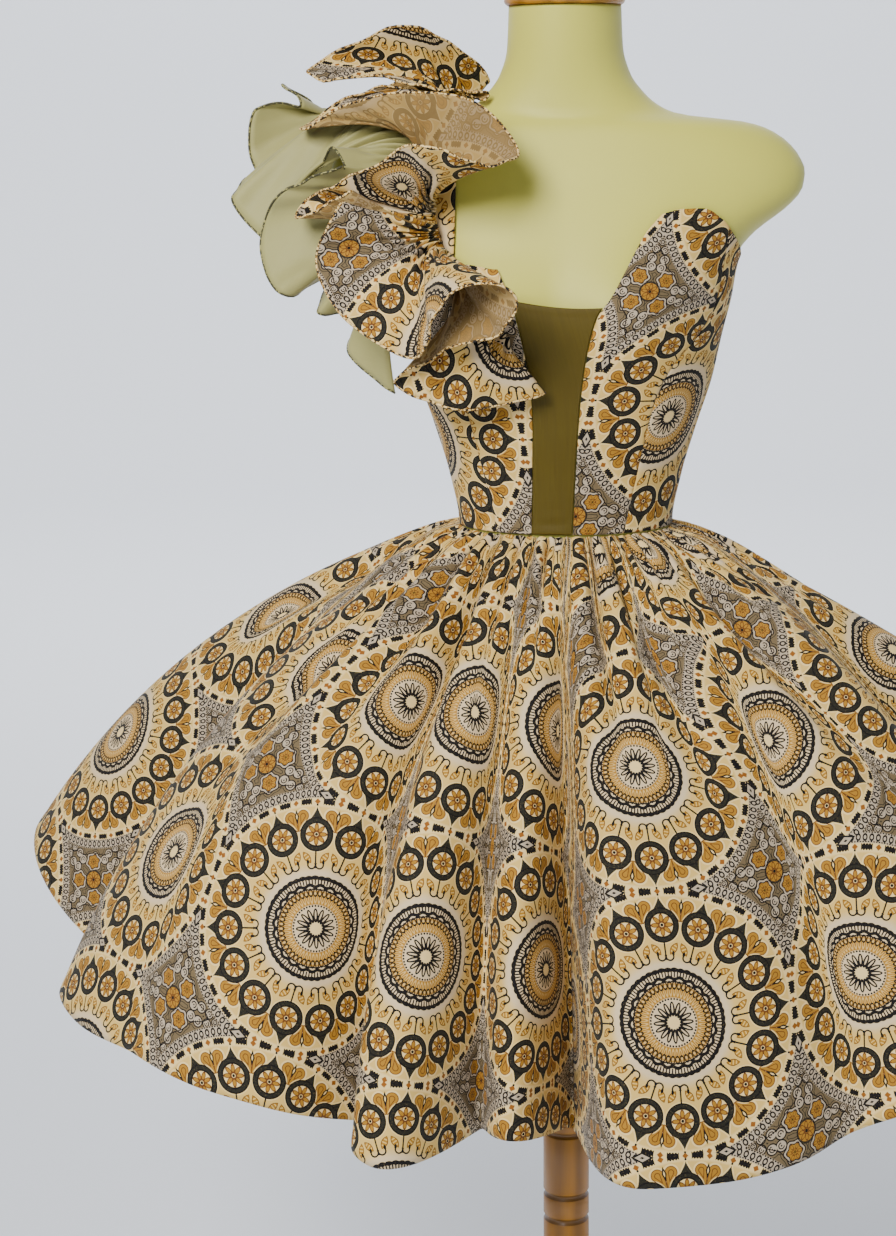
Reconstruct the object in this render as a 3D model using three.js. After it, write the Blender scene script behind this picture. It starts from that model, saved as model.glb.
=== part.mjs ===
// A one-shoulder party dress in printed cotton on a limbless dress form with a turned wooden stand.
// Millimetres. +Z is up, -Y is the wearer's front and +X the wearer's left.
// The origin is on the floor, under the pole, at the centre of the base's underside.
import * as THREE from "three";

// ---- Driving dimensions ----------------------------------------------------------------------------
const WAIST_Z = 1020; // floor to the waist seam
const CLOTH = 1.6; // wall thickness of every cloth piece
const SEAM_GAP = 0.3; // between two pieces that are sewn together
const FORM_CLEAR = 3; // between the form and the inside of the bodice
const SKIRT_ARCH = 20; // degrees that a skirt meridian turns either side of its chord
const SIDE_TURN = 90; // degrees from centre front to the side seams
const POLE_R = 24;
const BASE_R = 195;
const BASE_THICK = 30;
const HUB_TALL = 26; // of the collar on the base that the pole stands in

const RAD = Math.PI / 180; // one degree
const lerp = (a, b, t) => a + (b - a) * t;
const clamp = (v, low, high) => Math.min(high, Math.max(low, v));
const smooth = (t) => {
  const c = clamp(t, 0, 1);
  return c * c * (3 - 2 * c);
};
const signedPower = (v, p) => Math.sign(v) * Math.abs(v) ** p;

// A smooth curve without overshoot through one column of a table, read at a value of its key column.
function reader(rows, key, column) {
  const xs = rows.map((row) => row[key]);
  const ys = rows.map((row) => row[column]);
  const slopes = xs.slice(1).map((x, i) => (ys[i + 1] - ys[i]) / (x - xs[i]));
  const tangents = ys.map((_, i) => {
    const before = slopes[Math.max(i - 1, 0)];
    const after = slopes[Math.min(i, slopes.length - 1)];
    return before * after <= 0 ? 0 : (2 * before * after) / (before + after);
  });
  return (at) => {
    const x = clamp(at, xs[0], xs[xs.length - 1]);
    let i = xs.findIndex((v) => v > x) - 1;
    if (i < 0) i = xs.length - 2;
    const span = xs[i + 1] - xs[i];
    const t = (x - xs[i]) / span;
    const rise = span * (t * (1 - t) ** 2 * tangents[i] - t * t * (1 - t) * tangents[i + 1]);
    return lerp(ys[i], ys[i + 1], smooth(t)) + rise;
  };
}

const readers = (rows, key) =>
  Object.fromEntries(Object.keys(rows[0]).map((column) => [column, reader(rows, key, column)]));

// ---- The dress form --------------------------------------------------------------------------------
// Outline of the form at heights over the waist: half its width, its depths before and behind the axis,
// and the exponent of its outline, 2 being an ellipse.
const FORM_SECTIONS = [
  { up: -215, half: 148, front: 98, back: 116, square: 2.2 },
  { up: -180, half: 157, front: 105, back: 125, square: 2.2 },
  { up: -120, half: 150, front: 104, back: 121, square: 2.2 },
  { up: -60, half: 125, front: 94, back: 103, square: 2.1 },
  { up: 0, half: 102, front: 84, back: 86, square: 2.1 },
  { up: 50, half: 111, front: 90, back: 87, square: 2.1 },
  { up: 98, half: 125, front: 100, back: 91, square: 2.2 },
  { up: 145, half: 140, front: 106, back: 95, square: 2.3 },
  { up: 186, half: 149, front: 109, back: 98, square: 2.3 },
  { up: 223, half: 158, front: 107, back: 101, square: 2.3 },
  { up: 252, half: 163, front: 101, back: 103, square: 2.3 },
  { up: 266, half: 168, front: 97, back: 103, square: 2.3 },
  { up: 277, half: 176, front: 94, back: 102, square: 2.3 },
  { up: 288, half: 187, front: 91, back: 101, square: 2.3 },
  { up: 299, half: 202, front: 88, back: 99, square: 2.3 },
  { up: 312, half: 218, front: 84, back: 96, square: 2.3 },
  { up: 327, half: 229, front: 79, back: 92, square: 2.3 },
  { up: 342, half: 231, front: 75, back: 88, square: 2.3 },
  { up: 357, half: 225, front: 70, back: 82, square: 2.3 },
  { up: 371, half: 213, front: 65, back: 76, square: 2.3 },
  { up: 382, half: 196, front: 61, back: 70, square: 2.3 },
  { up: 388, half: 179, front: 58, back: 66, square: 2.3 },
  { up: 391.5, half: 160, front: 56, back: 62, square: 2.2 },
  { up: 394, half: 134, front: 54, back: 59, square: 2.1 },
  { up: 398, half: 108, front: 53, back: 57, square: 2 },
  { up: 406, half: 90, front: 52, back: 56, square: 2 },
  { up: 418, half: 76, front: 52, back: 54, square: 2 },
  { up: 436, half: 63, front: 53, back: 52, square: 2 },
  { up: 460, half: 56, front: 55, back: 49, square: 2 },
  { up: 500, half: 54, front: 58, back: 46, square: 2 },
];
const BUST = { up: 205, side: 78, proud: 24, wide: 54, tall: 56 };
const FORM_TURNS = 40; // flats round the form
const TALL_GAP = 20; // sections further apart than this get one more between them
const form = readers(FORM_SECTIONS, "up");
const formTop = FORM_SECTIONS[FORM_SECTIONS.length - 1].up;
const formBottom = FORM_SECTIONS[0].up;

const bustAt = (x, up) =>
  BUST.proud *
  Math.exp(-(((Math.abs(x) - BUST.side) / BUST.wide) ** 2) - ((up - BUST.up) / BUST.tall) ** 2);

// A point on the form at a turn in degrees from centre front towards the wearer's left, moved out.
function formPoint(turn, up, out = 0) {
  const power = 2 / form.square(up);
  const x = (form.half(up) + out) * signedPower(Math.sin(turn * RAD), power);
  const depth = Math.cos(turn * RAD) > 0 ? form.front(up) + bustAt(x, up) : form.back(up);
  const y = -(depth + out) * signedPower(Math.cos(turn * RAD), power);
  return new THREE.Vector3(x, y, WAIST_Z + up);
}

// The turn at which the front of the form, moved out, is at a given x.
function turnAt(x, up, out = 0) {
  const share = clamp(Math.abs(x) / (form.half(up) + out), 0, 1);
  return (Math.sign(x) * Math.asin(share ** (form.square(up) / 2))) / RAD;
}

// How far outside the form a point is: below zero inside, about zero on it.
function formField(x, y, up) {
  const n = form.square(up);
  const depth = y < 0 ? form.front(up) + bustAt(x, up) : form.back(up);
  return (Math.abs(x) / form.half(up)) ** n + (Math.abs(y) / depth) ** n - 1;
}

// ---- Building closed solids ------------------------------------------------------------------------
function solid(points, faces) {
  const geometry = new THREE.BufferGeometry();
  geometry.setAttribute(
    "position",
    new THREE.Float32BufferAttribute(points.flatMap((p) => [p.x, p.y, p.z]), 3),
  );
  geometry.setIndex(faces.flat());
  geometry.computeVertexNormals();
  return geometry;
}

// A solid through level rings of points, closed by flat ends. Rings run from the lowest to the highest.
function loft(rings) {
  const turns = rings[0].length;
  const points = rings.flat();
  const faces = [];
  for (let r = 0; r < rings.length - 1; r++) {
    for (let i = 0; i < turns; i++) {
      const a = r * turns + i;
      const b = r * turns + ((i + 1) % turns);
      faces.push([a, b, b + turns], [a, b + turns, a + turns]);
    }
  }
  for (const [ring, first] of [
    [rings[0], 0],
    [rings[rings.length - 1], (rings.length - 1) * turns],
  ]) {
    const hub = points.length;
    const centre = ring.reduce((sum, p) => sum.add(p), new THREE.Vector3());
    points.push(centre.divideScalar(turns));
    for (let i = 0; i < turns; i++) {
      const a = first + i;
      const b = first + ((i + 1) % turns);
      faces.push(first ? [a, b, hub] : [b, a, hub]);
    }
  }
  return solid(points, faces);
}

// A cloth wall over the unit square: middle(a, b) is the middle of the cloth, and the side that
// (d/da) x (d/db) points to is its right side.
function clothWall(columns, rows, middle) {
  const step = 1e-3; // share of the square over which a slope is taken
  const grid = [];
  const right = [];
  const wrong = [];
  for (let j = 0; j <= rows; j++) {
    for (let i = 0; i <= columns; i++) {
      const [a, b] = [i / columns, j / rows];
      const across = middle(a + step, b).sub(middle(a - step, b));
      const along = middle(a, b + step).sub(middle(a, b - step));
      const half = across.cross(along).setLength(CLOTH / 2);
      const centre = middle(a, b);
      grid.push(centre);
      right.push(centre.clone().add(half));
      wrong.push(centre.clone().sub(half));
    }
  }
  const index = (i, j) => j * (columns + 1) + i;
  const below = grid.length;
  const faces = [];
  for (let j = 0; j < rows; j++) {
    for (let i = 0; i < columns; i++) {
      const [a, b, c, d] = [index(i, j), index(i + 1, j), index(i + 1, j + 1), index(i, j + 1)];
      faces.push([a, b, c], [a, c, d]);
      faces.push([a + below, c + below, b + below], [a + below, d + below, c + below]);
    }
  }
  const rim = (a, b) => faces.push([a, a + below, b + below], [a, b + below, b]);
  for (let i = 0; i < columns; i++) {
    rim(index(i, 0), index(i + 1, 0));
    rim(index(i + 1, rows), index(i, rows));
  }
  for (let j = 0; j < rows; j++) {
    rim(index(0, j + 1), index(0, j));
    rim(index(columns, j), index(columns, j + 1));
  }
  return solid([...right, ...wrong], faces);
}

// ---- Materials -------------------------------------------------------------------------------------
const finish = (colour, roughness) =>
  new THREE.MeshStandardMaterial({ color: colour, roughness, metalness: 0 });
const PRINT = finish(0xc9a35c, 0.8);
const OLIVE_CLOTH = finish(0x9a9a5e, 0.75);
const MESH_NET = finish(0x7d6c1e, 0.7);
const JERSEY = finish(0xc3c184, 0.85);
const WOOD = finish(0xb8762f, 0.4);

const dress = new THREE.Group();
function add(name, geometry, material) {
  const mesh = new THREE.Mesh(geometry, material);
  mesh.name = name;
  dress.add(mesh);
}

// ---- Form, cap, pole and base ----------------------------------------------------------------------
function torso() {
  const levels = FORM_SECTIONS.flatMap(({ up }, i) => {
    const below = i ? FORM_SECTIONS[i - 1].up : up;
    return up - below > TALL_GAP ? [(below + up) / 2, up] : [up];
  });
  const turns = Array.from({ length: FORM_TURNS }, (_, i) => (i * 360) / FORM_TURNS);
  return loft(levels.map((up) => turns.map((turn) => formPoint(turn, up))));
}

function turned(profile) {
  const points = profile.map(({ r, z }) => new THREE.Vector2(r, z));
  const geometry = new THREE.LatheGeometry(points, TURNED_FLATS);
  geometry.rotateX(90 * RAD); // lathe axis from Y to Z
  return geometry;
}

const TURNED_FLATS = 36; // round a piece turned on a lathe
const NECK_AHEAD = 6; // from the pole's axis to the neck's
const GROOVES = [-452, -470, -590, -608]; // heights over the waist of the rings turned into the pole
const GROOVE_DEPTH = 2.5;
const GROOVE_HALF = 4;
const CAP_PROFILE = [
  { r: 0, z: 0 },
  { r: 56, z: 0 },
  { r: 58, z: 4 },
  { r: 55, z: 9 },
  { r: 46, z: 11 },
  { r: 42, z: 20 },
  { r: 30, z: 30 },
  { r: 16, z: 38 },
  { r: 15, z: 46 },
  { r: 22, z: 54 },
  { r: 24, z: 62 },
  { r: 18, z: 71 },
  { r: 0, z: 75 },
];

function pole() {
  const bottom = BASE_THICK + HUB_TALL + SEAM_GAP;
  const top = WAIST_Z + formBottom - SEAM_GAP;
  const rings = GROOVES.map((up) => WAIST_Z + up).reverse();
  const profile = [{ r: 0, z: bottom }, { r: POLE_R, z: bottom }];
  for (const z of rings) {
    profile.push({ r: POLE_R, z: z - GROOVE_HALF });
    profile.push({ r: POLE_R - GROOVE_DEPTH, z });
    profile.push({ r: POLE_R, z: z + GROOVE_HALF });
  }
  profile.push({ r: POLE_R, z: top }, { r: 0, z: top });
  return turned(profile);
}

function base() {
  const edge = 9; // radius of the rounded rim
  const chamfer = 3; // round the underside
  const rim = [0, 30, 60, 90].map((a) => ({
    r: BASE_R - edge + edge * Math.cos(a * RAD),
    z: BASE_THICK - edge + edge * Math.sin(a * RAD),
  }));
  const hub = [
    { r: 52, z: BASE_THICK },
    { r: 46, z: BASE_THICK + 9 },
    { r: 36, z: BASE_THICK + 14 },
    { r: 34, z: BASE_THICK + HUB_TALL },
  ];
  const foot = [{ r: 0, z: 0 }, { r: BASE_R - chamfer, z: 0 }, { r: BASE_R, z: chamfer }];
  return turned([...foot, ...rim, ...hub, { r: 0, z: BASE_THICK + HUB_TALL }]);
}

add("form_torso", torso(), JERSEY);
add("neck_cap", turned(CAP_PROFILE).translate(0, -NECK_AHEAD, WAIST_Z + formTop + SEAM_GAP), WOOD);
add("stand_pole", pole(), WOOD);
add("stand_base", base(), WOOD);

// ---- Bodice ----------------------------------------------------------------------------------------
// Where each seam and edge runs: its distance from centre front at heights over the waist.
const PLUNGE_LEFT = [
  { up: 0, x: 13 },
  { up: 80, x: 18 },
  { up: 138, x: 23 },
  { up: 176, x: 29 },
  { up: 212, x: 39 },
  { up: 231, x: 52 },
  { up: 256, x: 65 },
  { up: 276, x: 75 },
  { up: 291, x: 84 },
  { up: 306, x: 97 },
];
const PLUNGE_RIGHT = [
  { up: 0, x: 27 },
  { up: 70, x: 25 },
  { up: 110, x: 24 },
  { up: 150, x: 26 },
  { up: 190, x: 33 },
  { up: 227, x: 43 },
  { up: 256, x: 56 },
];
const PRINCESS = [
  { up: 0, x: 62 },
  { up: 83, x: 80 },
  { up: 124, x: 90 },
  { up: 160, x: 106 },
  { up: 189, x: 130 },
  { up: 215, x: 146 },
  { up: 255, x: 155 },
  { up: 310, x: 162 },
];
// Height of the finished top edge at turns from centre front.
const TOP_LEFT = [
  { turn: 20, up: 300 },
  { turn: 24, up: 306 },
  { turn: 28.5, up: 310 },
  { turn: 34, up: 310.5 },
  { turn: 44, up: 301 },
  { turn: 59, up: 285 },
  { turn: 74, up: 272 },
  { turn: 90, up: 262 },
  { turn: 130, up: 252 },
  { turn: 180, up: 246 },
];
const TOP_RIGHT = [
  { turn: 18, up: 256 },
  { turn: 28, up: 260 },
  { turn: 62, up: 260 },
  { turn: 76, up: 256 },
  { turn: 90, up: 254 },
  { turn: 110, up: 248 },
  { turn: 155, up: 248 },
  { turn: 180, up: 246 },
];
const CLOTH_OUT = FORM_CLEAR + CLOTH / 2; // from the form to the middle of the bodice cloth
const NET_TOP = { left: 221, right: 228, dip: 3 };
const BODICE_RADIUS = 110; // roughly, for turning the gap at a seam into degrees
const SEAM_TURN = SEAM_GAP / 2 / BODICE_RADIUS / RAD;
const MEETING_TRIES = 12; // to find the height at which a seam meets the top edge
const PANEL_GRIDS = { centreFront: [7, 11], sideFront: [3, 11], back: [8, 9] }; // columns and rows

const plungeLeft = reader(PLUNGE_LEFT, "up", "x");
const plungeRight = reader(PLUNGE_RIGHT, "up", "x");
const princess = reader(PRINCESS, "up", "x");
const edgeAt = (line) => (up) => turnAt(line(up), up, CLOTH_OUT);
const seamAt = (turn) => () => turn;

// A bodice panel between two edges, each a turn at every height, up to the finished top edge.
function bodicePanel(side, inner, outer, topEdge, [columns, rows]) {
  const meeting = (edge) => {
    let up = topEdge(SIDE_TURN);
    for (let i = 0; i < MEETING_TRIES; i++) up = topEdge(edge(up));
    return up;
  };
  const innerTop = meeting(inner);
  const outerTop = meeting(outer);
  return clothWall(columns, rows, (a, b) => {
    const share = side > 0 ? a : 1 - a;
    const turn = lerp(inner(b * innerTop), outer(b * outerTop), share);
    const topTurn = lerp(inner(innerTop), outer(outerTop), share);
    const up = lerp(SEAM_GAP / 2, topEdge(topTurn), b);
    return formPoint(side * turn, up, CLOTH_OUT);
  });
}

const shifted = (edge, by) => (up) => edge(up) + by;
const topLeft = reader(TOP_LEFT, "turn", "up");
const topRight = reader(TOP_RIGHT, "turn", "up");
const SIDES = [
  { name: "left", side: 1, plunge: plungeLeft, top: topLeft },
  { name: "right", side: -1, plunge: plungeRight, top: topRight },
];
for (const { name, side, plunge, top } of SIDES) {
  const plungeEdge = edgeAt(plunge);
  const princessSeam = edgeAt(princess);
  const sideSeam = seamAt(SIDE_TURN);
  const centreBack = seamAt(180);
  const panels = [
    ["centre_front", plungeEdge, shifted(princessSeam, -SEAM_TURN), PANEL_GRIDS.centreFront],
    ["side_front", shifted(princessSeam, SEAM_TURN), shifted(sideSeam, -SEAM_TURN), PANEL_GRIDS.sideFront],
    ["back", shifted(sideSeam, SEAM_TURN), shifted(centreBack, -SEAM_TURN), PANEL_GRIDS.back],
  ];
  for (const [piece, inner, outer, grid] of panels) {
    add(`bodice_${name}_${piece}`, bodicePanel(side, inner, outer, top, grid), PRINT);
  }
}

const NET_GRID = [4, 12];

// The net that fills the plunge: stretched straight across, but never nearer the form than the bodice.
function plungeNet() {
  return clothWall(...NET_GRID, (a, b) => {
    const top = lerp(NET_TOP.right, NET_TOP.left, a) - NET_TOP.dip * 4 * a * (1 - a);
    const up = lerp(SEAM_GAP / 2, top, b);
    const from = -plungeRight(up) + 2 * SEAM_GAP;
    const to = plungeLeft(up) - 3 * SEAM_GAP;
    const x = lerp(from, to, a);
    const onForm = (at) => formPoint(turnAt(at, up, CLOTH_OUT), up, CLOTH_OUT);
    const y = Math.min(onForm(x).y, lerp(onForm(from).y, onForm(to).y, a));
    return new THREE.Vector3(x, y, WAIST_Z + up);
  });
}
add("plunge_net", plungeNet(), MESH_NET);

// ---- Shoulder strap --------------------------------------------------------------------------------
const RAY_UP = 254; // height over the waist from which rays leave the chest's middle
const RAY_LONG = 320;
const HALVINGS = 30; // to find where a ray leaves the form
const FIELD_STEP = 1.5; // over which the slope of the form's field is taken

// Where a ray in the upright slice at x leaves the form, moved out along the form's own normal. The ray
// rises by an angle from straight ahead, so 180 points backwards.
function slicePoint(x, angle, out, rayUp = RAY_UP) {
  const [ahead, rise] = [Math.cos(angle * RAD), Math.sin(angle * RAD)];
  let inside = 0;
  let outside = RAY_LONG;
  for (let i = 0; i < HALVINGS; i++) {
    const r = (inside + outside) / 2;
    if (formField(x, -r * ahead, rayUp + r * rise) < 0) inside = r;
    else outside = r;
  }
  const [y, up] = [-inside * ahead, rayUp + inside * rise];
  const slope = (dx, dy, dz) =>
    formField(x + dx, y + dy, up + dz) - formField(x - dx, y - dy, up - dz);
  const normal = new THREE.Vector3(
    slope(FIELD_STEP, 0, 0),
    slope(0, FIELD_STEP, 0),
    slope(0, 0, FIELD_STEP),
  ).normalize();
  const point = new THREE.Vector3(x, y, WAIST_Z + up).addScaledVector(normal, out);
  return { point, normal };
}

const STRAP = { outer: -146, inner: -98, frontUp: 261, backUp: 249.4 }; // joins the bodice's top edge
const STRAP_GRID = [3, 26];
function strapMiddle(a, b) {
  const x = lerp(STRAP.outer, STRAP.inner, a);
  return slicePoint(x, 180 * b, CLOTH_OUT, lerp(STRAP.frontUp, STRAP.backUp, b)).point;
}
add("shoulder_strap", clothWall(...STRAP_GRID, strapMiddle), PRINT);

// ---- Ruffles ---------------------------------------------------------------------------------------
// A ruffle is a long strip gathered into a line of stitching that runs up the front, over the shoulder
// and down the back. The tables below give the stitching, and then the free edge: each row is a place
// where the edge turns or crosses over, with the angle round the shoulder of the stitching it hangs from.
const PRINT_STITCHING = [
  { angle: -28, x: -46 },
  { angle: -4, x: -84 },
  { angle: 10, x: -104 },
  { angle: 28, x: -114 },
  { angle: 55, x: -122 },
  { angle: 90, x: -124 },
  { angle: 130, x: -118 },
  { angle: 165, x: -114 },
  { angle: 190, x: -112 },
];
const PRINT_EDGE = [
  { angle: -27, x: -10, ahead: 125, up: 142 },
  { angle: -24, x: -80, ahead: 140, up: 128 },
  { angle: -18, x: -150, ahead: 142, up: 150 },
  { angle: -8, x: -100, ahead: 180, up: 186 },
  { angle: -1, x: -44, ahead: 205, up: 206 },
  { angle: 3, x: -30, ahead: 220, up: 238 },
  { angle: 6, x: -68, ahead: 232, up: 254 },
  { angle: 9, x: -98, ahead: 220, up: 226 },
  { angle: 12, x: -126, ahead: 190, up: 182 },
  { angle: 16, x: -190, ahead: 165, up: 212 },
  { angle: 20, x: -224, ahead: 135, up: 262 },
  { angle: 23, x: -208, ahead: 140, up: 305 },
  { angle: 26, x: -187, ahead: 150, up: 332 },
  { angle: 29, x: -240, ahead: 122, up: 303 },
  { angle: 32, x: -240, ahead: 100, up: 320 },
  { angle: 35, x: -170, ahead: 150, up: 352 },
  { angle: 38, x: -115, ahead: 182, up: 374 },
  { angle: 41, x: -60, ahead: 170, up: 352 },
  { angle: 45, x: -34, ahead: 135, up: 365 },
  { angle: 50, x: -72, ahead: 112, up: 408 },
  { angle: 56, x: -131, ahead: 106, up: 420 },
  { angle: 62, x: -198, ahead: 88, up: 410 },
  { angle: 67, x: -246, ahead: 62, up: 384 },
  { angle: 73, x: -240, ahead: 30, up: 398 },
  { angle: 80, x: -180, ahead: 36, up: 424 },
  { angle: 87, x: -72, ahead: 40, up: 416 },
  { angle: 94, x: -160, ahead: 48, up: 432 },
  { angle: 102, x: -250, ahead: 12, up: 440 },
  { angle: 111, x: -150, ahead: -20, up: 484 },
  { angle: 120, x: -80, ahead: -70, up: 430 },
  { angle: 130, x: -160, ahead: -120, up: 440 },
  { angle: 140, x: -238, ahead: -120, up: 385 },
  { angle: 149, x: -150, ahead: -190, up: 370 },
  { angle: 158, x: -75, ahead: -180, up: 320 },
  { angle: 167, x: -150, ahead: -180, up: 280 },
  { angle: 177, x: -212, ahead: -140, up: 250 },
  { angle: 188, x: -130, ahead: -150, up: 180 },
];
const OLIVE_STITCHING = [
  { angle: 0, x: -132 },
  { angle: 30, x: -138 },
  { angle: 60, x: -139 },
  { angle: 120, x: -138 },
  { angle: 178, x: -132 },
];
const OLIVE_EDGE = [
  { angle: 2, x: -160, ahead: 70, up: 135 },
  { angle: 8, x: -208, ahead: 55, up: 172 },
  { angle: 13, x: -190, ahead: 30, up: 205 },
  { angle: 18, x: -236, ahead: 62, up: 212 },
  { angle: 24, x: -222, ahead: 30, up: 245 },
  { angle: 30, x: -268, ahead: 85, up: 232 },
  { angle: 37, x: -288, ahead: 72, up: 280 },
  { angle: 44, x: -268, ahead: 88, up: 325 },
  { angle: 50, x: -225, ahead: 108, up: 345 },
  { angle: 56, x: -198, ahead: 108, up: 352 },
  { angle: 61, x: -215, ahead: 85, up: 368 },
  { angle: 66, x: -232, ahead: 60, up: 350 },
  { angle: 71, x: -270, ahead: 60, up: 320 },
  { angle: 77, x: -278, ahead: 62, up: 278 },
  { angle: 84, x: -318, ahead: 60, up: 322 },
  { angle: 91, x: -292, ahead: 24, up: 346 },
  { angle: 98, x: -254, ahead: 4, up: 342 },
  { angle: 104, x: -303, ahead: 5, up: 345 },
  { angle: 112, x: -306, ahead: 0, up: 405 },
  { angle: 120, x: -262, ahead: -10, up: 408 },
  { angle: 128, x: -284, ahead: -35, up: 428 },
  { angle: 138, x: -250, ahead: -70, up: 400 },
  { angle: 148, x: -300, ahead: -100, up: 350 },
  { angle: 158, x: -240, ahead: -120, up: 330 },
  { angle: 168, x: -270, ahead: -130, up: 270 },
  { angle: 178, x: -190, ahead: -140, up: 220 },
];
const STAND_UP = 0.4; // share of its reach for which a ruffle stands square to what it is sewn to
const OLIVE_TILT = 55; // degrees that the olive ruffle leans out towards the arm
const EDGE_STEPS = 3; // columns from one row of an edge table to the next
const RUFFLE_ROWS = 4;

// A smooth curve through evenly timed values.
function through(values, at) {
  const i = clamp(Math.floor(at), 0, values.length - 2);
  const t = at - i;
  const value = (k) => values[clamp(k, 0, values.length - 1)];
  const [p, q, r, s] = [value(i - 1), value(i), value(i + 1), value(i + 2)];
  return q + (t * (r - p + t * (2 * p - 5 * q + 4 * r - s + t * (3 * (q - r) + s - p)))) / 2;
}

function ruffle(stitching, edge, tilt) {
  const stitchX = reader(stitching, "angle", "x");
  const seat = FORM_CLEAR + CLOTH + SEAM_GAP + CLOTH / 2;
  const [xs, aheads, ups] = ["x", "ahead", "up"].map((column) => edge.map((row) => row[column]));
  return clothWall(EDGE_STEPS * (edge.length - 1), RUFFLE_ROWS, (a, b) => {
    const place = clamp(a, 0, 1) * (edge.length - 1);
    const i = Math.min(Math.floor(place), edge.length - 2);
    const angle = lerp(edge[i].angle, edge[i + 1].angle, place - i);
    const { point: root, normal } = slicePoint(stitchX(angle), angle, seat);
    const toArm = new THREE.Vector3(0, -normal.z, normal.y).cross(normal);
    normal.multiplyScalar(Math.cos(tilt * RAD)).addScaledVector(toArm, Math.sin(tilt * RAD));
    const tip = new THREE.Vector3(
      through(xs, place),
      -through(aheads, place),
      WAIST_Z + through(ups, place),
    );
    const stand = root.clone().addScaledVector(normal, STAND_UP * root.distanceTo(tip));
    return root
      .multiplyScalar((1 - b) ** 2)
      .addScaledVector(stand, 2 * b * (1 - b))
      .addScaledVector(tip, b * b);
  });
}
add("ruffle_print", ruffle(PRINT_STITCHING, PRINT_EDGE, 0), PRINT);
add("ruffle_olive", ruffle(OLIVE_STITCHING, OLIVE_EDGE, OLIVE_TILT), OLIVE_CLOTH);

// ---- Skirt -----------------------------------------------------------------------------------------
// Along the crests of the flutes, at turns from centre front: the reach of the hem from the axis, and
// the length of the cloth from the waist seam to the hem.
const CRESTS = [
  { turn: -180, reach: 455, length: 628 },
  { turn: -155, reach: 478, length: 628 },
  { turn: -130, reach: 535, length: 628 },
  { turn: -104, reach: 605, length: 628 },
  { turn: -84, reach: 532, length: 628 },
  { turn: -66, reach: 514, length: 630 },
  { turn: -54, reach: 500, length: 620 },
  { turn: -44, reach: 466, length: 612 },
  { turn: -36, reach: 425, length: 604 },
  { turn: -31, reach: 394, length: 606 },
  { turn: -21, reach: 400, length: 628 },
  { turn: -6, reach: 345, length: 590 },
  { turn: 7, reach: 412, length: 628 },
  { turn: 14, reach: 404, length: 632 },
  { turn: 24, reach: 404, length: 632 },
  { turn: 34, reach: 425, length: 630 },
  { turn: 46, reach: 475, length: 625 },
  { turn: 62, reach: 535, length: 622 },
  { turn: 94, reach: 592, length: 628 },
  { turn: 122, reach: 540, length: 628 },
  { turn: 150, reach: 478, length: 628 },
  { turn: 180, reach: 455, length: 628 },
];
// Valleys between the flutes: how deep at the hem, how wide in degrees, which way the bottom leans under
// the next flute, and the share of the length at which each starts.
const VALLEYS = [
  { turn: -168, deep: 110, wide: 7, lean: 2, from: 0.05 },
  { turn: -144, deep: 120, wide: 7, lean: -2, from: 0.1 },
  { turn: -122, deep: 90, wide: 6, lean: -2, from: 0.1 },
  { turn: -86, deep: 125, wide: 6, lean: 4, from: 0.12 },
  { turn: -56, deep: 26, wide: 8, lean: 0, from: 0.5 },
  { turn: -31, deep: 70, wide: 3.2, lean: 1, from: 0.35 },
  { turn: -12, deep: 90, wide: 4, lean: -1, from: 0.02 },
  { turn: 3, deep: 190, wide: 4.5, lean: 3, from: 0 },
  { turn: 43, deep: 46, wide: 7, lean: 0, from: 0.02 },
  { turn: 76, deep: 110, wide: 7, lean: -2, from: 0.05 },
  { turn: 108, deep: 125, wide: 7, lean: 2, from: 0.1 },
  { turn: 136, deep: 115, wide: 7, lean: -1, from: 0.05 },
  { turn: 164, deep: 105, wide: 7, lean: 2, from: 0.05 },
];
// Pleats let into the waist that open out again before the hem.
const PLEATS = [
  { turn: -58, drift: -6, deep: 26, wide: 4, until: 0.75 },
  { turn: -44, drift: 2, deep: 22, wide: 4, until: 0.6 },
  { turn: -32, drift: 4, deep: 34, wide: 3.5, until: 0.9 },
  { turn: 14, drift: 2, deep: 16, wide: 4, until: 0.5 },
  { turn: 28, drift: 8, deep: 22, wide: 4, until: 0.6 },
  { turn: 54, drift: 8, deep: 30, wide: 4, until: 0.85 },
  { turn: -94, drift: -4, deep: 20, wide: 5, until: 0.6 },
  { turn: 94, drift: 2, deep: 20, wide: 5, until: 0.6 },
  { turn: 148, drift: 3, deep: 20, wide: 5, until: 0.6 },
  { turn: -154, drift: -3, deep: 20, wide: 5, until: 0.6 },
  { turn: -128, drift: 3, deep: 20, wide: 5, until: 0.6 },
  { turn: 121, drift: -3, deep: 20, wide: 5, until: 0.6 },
];
const SKIRT_TOP = -1.4; // the middle of the skirt's cloth at the waist, over the waist seam
const crest = readers(CRESTS, "turn");
const wrap = (turn) => ((((turn + 180) % 360) + 360) % 360) - 180;

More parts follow.
